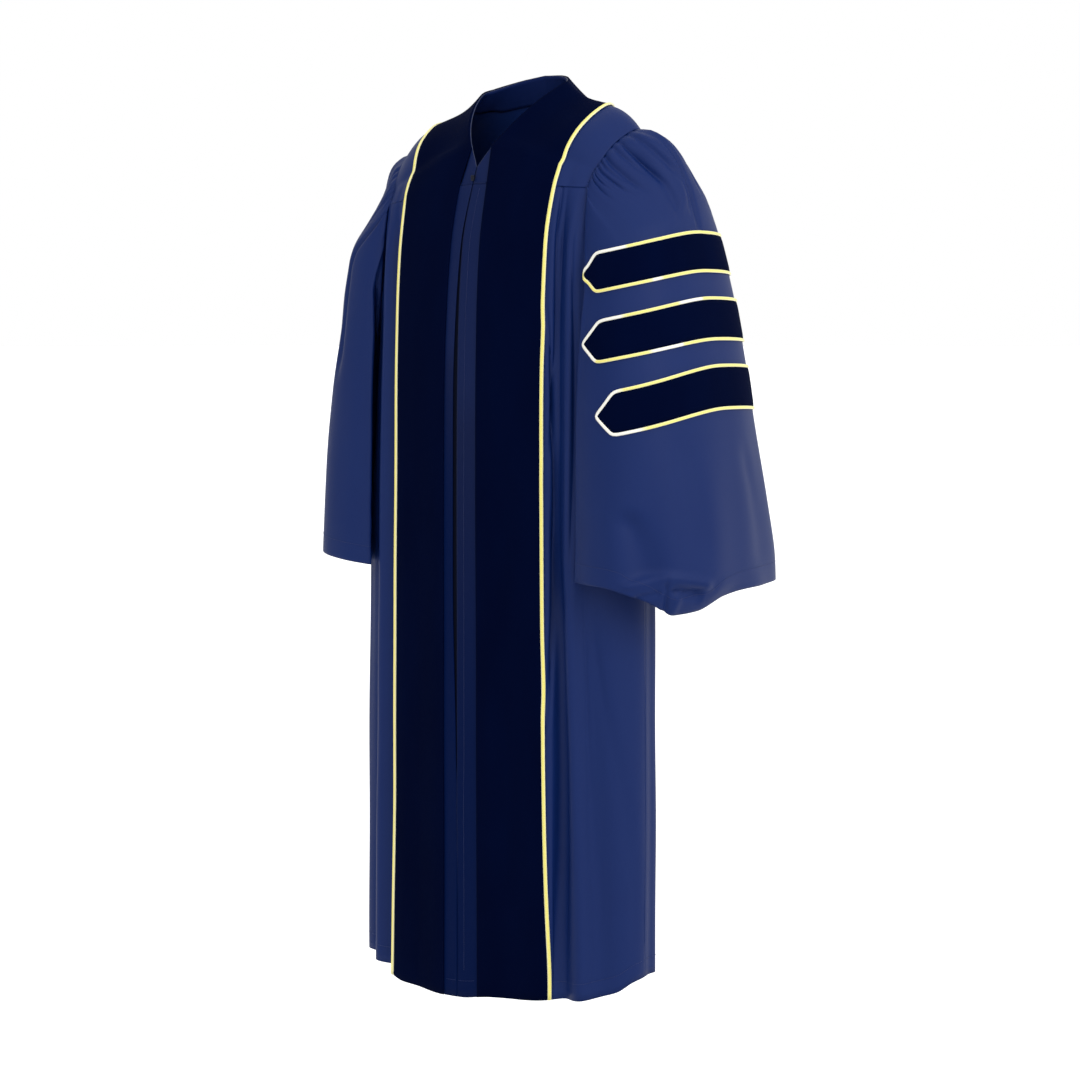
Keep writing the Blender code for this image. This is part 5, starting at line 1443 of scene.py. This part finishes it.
# The flat cut of each sheet, in metres
SHEET_ROWS = (
    # piece, width, length, area, held, rests on
    ("yoke", 0.450, 0.380, 0.116, "draped", ()),
    ("front_left", 0.420, 1.150, 0.336, "hung", ("yoke",)),
    ("front_right", 0.415, 1.150, 0.314, "hung", ("yoke",)),
    ("back", 0.880, 1.125, 0.706, "gathered", ("yoke",)),
    ("sleeve_left", 1.000, 0.675, 0.436, "gathered", ("yoke", "front_left", "back")),
    ("sleeve_right", 0.965, 0.610, 0.398, "gathered", ("yoke", "front_right", "back")),
    ("band_left", 0.120, 1.470, 0.147, "laid", ("yoke", "front_left")),
    ("band_right", 0.120, 1.485, 0.149, "laid", ("yoke", "front_right")),
    ("bar_upper_left", 0.443, 0.0465, 0.0184, "laid", ("sleeve_left",)),
    ("bar_middle_left", 0.482, 0.0495, 0.0215, "laid", ("sleeve_left",)),
    ("bar_lower_left", 0.487, 0.0520, 0.0228, "laid", ("sleeve_left",)),
    ("bar_upper_right", 0.312, 0.0465, 0.0124, "laid", ("sleeve_right",)),
    ("bar_middle_right", 0.340, 0.0495, 0.0146, "laid", ("sleeve_right",)),
    ("bar_lower_right", 0.362, 0.0520, 0.0162, "laid", ("sleeve_right",)),
    ("neck_facing", 0.049, 0.250, 0.0080, "laid", ("yoke",)),
    ("zip_tape", 0.022, 1.110, 0.0244, "laid", ("front_left", "front_right")),
)
for piece, width, length, area, held, rests in SHEET_ROWS:
    [made[name] for name in rests]
    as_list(made_with.get(piece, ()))


# Floor, light and camera

def aimed(name, data, azimuth, elevation, distance, target):
    """A lamp or a camera, turned to its target."""
    a, e = math.radians(azimuth), math.radians(elevation)
    way = Vector((math.sin(a) * math.cos(e), -math.cos(a) * math.cos(e), math.sin(e)))
    found = linked(name, data)
    found.location = Vector(target) + way * distance
    found.rotation_euler = way.to_track_quat("Z", "Y").to_euler()
    return found


def lamp(name, azimuth, elevation, distance, size, power):
    data = bpy.data.lights.new(name, "AREA")
    data.shape = "RECTANGLE"
    data.size, data.size_y = size
    data.energy = power
    aimed(name, data, azimuth, elevation, distance, (0.0, -0.05, -0.62))


# The floor is plain and pale below the gown, and as white as the studio's wall further back
studio = Look(bpy.data.materials.new("studio_white"))
place = studio.node("TexCoord").outputs["Object"]
behind = studio.node("VectorMath", {0: place, 1: (-0.63, 0.777, 0.0)}, operation="DOT_PRODUCT").outputs["Value"]
far = studio.node("MapRange", {0: behind, 1: -0.35, 2: 0.25, 3: 0.10, 4: 0.75}).outputs[0]
studio.set(Base_Color=(0.66, 0.66, 0.66, 1.0), Roughness=0.9, Emission_Color=(1.0, 1.0, 1.0, 1.0))
studio.set(Emission_Strength=far)
turns = [math.radians(3 * k) for k in range(120)]
floor_mesh = bpy.data.meshes.new("floor")
floor_mesh.from_pydata([(60 * math.cos(a), 60 * math.sin(a), -1.52) for a in turns], [], [range(120)])
floor_mesh.materials.append(studio.made)
floor = linked("floor", floor_mesh)

lamp("key", 78, 26, 3.0, (1.2, 2.0), 22)
lamp("fill", 22, 30, 3.4, (1.6, 1.6), 9)

# A white studio, darker on its left front side
sky = Look(bpy.data.worlds.new("studio"), "Background")
way = sky.node("TexCoord").outputs["Generated"]
towards = sky.node("VectorMath", {0: way, 1: (0.85, 0.45, 0.20)}, operation="DOT_PRODUCT").outputs["Value"]
level = sky.node("MapRange", {0: towards, 1: -0.95, 2: -0.38, 3: 0.24, 4: 1.0}, interpolation_type="SMOOTHSTEP")
sky.set(Color=(1.0, 1.0, 1.0, 1.0), Strength=level.outputs[0])

camera = bpy.data.cameras.new("camera")
camera.lens = 80.0
camera.sensor_width = 36.0
scene = bpy.context.scene
scene.world = sky.made
scene.camera = aimed("camera", camera, 39.0, 5.7, 3.43, (0.0336, -0.0528, -0.6592))
scene.view_settings.view_transform = "Standard"
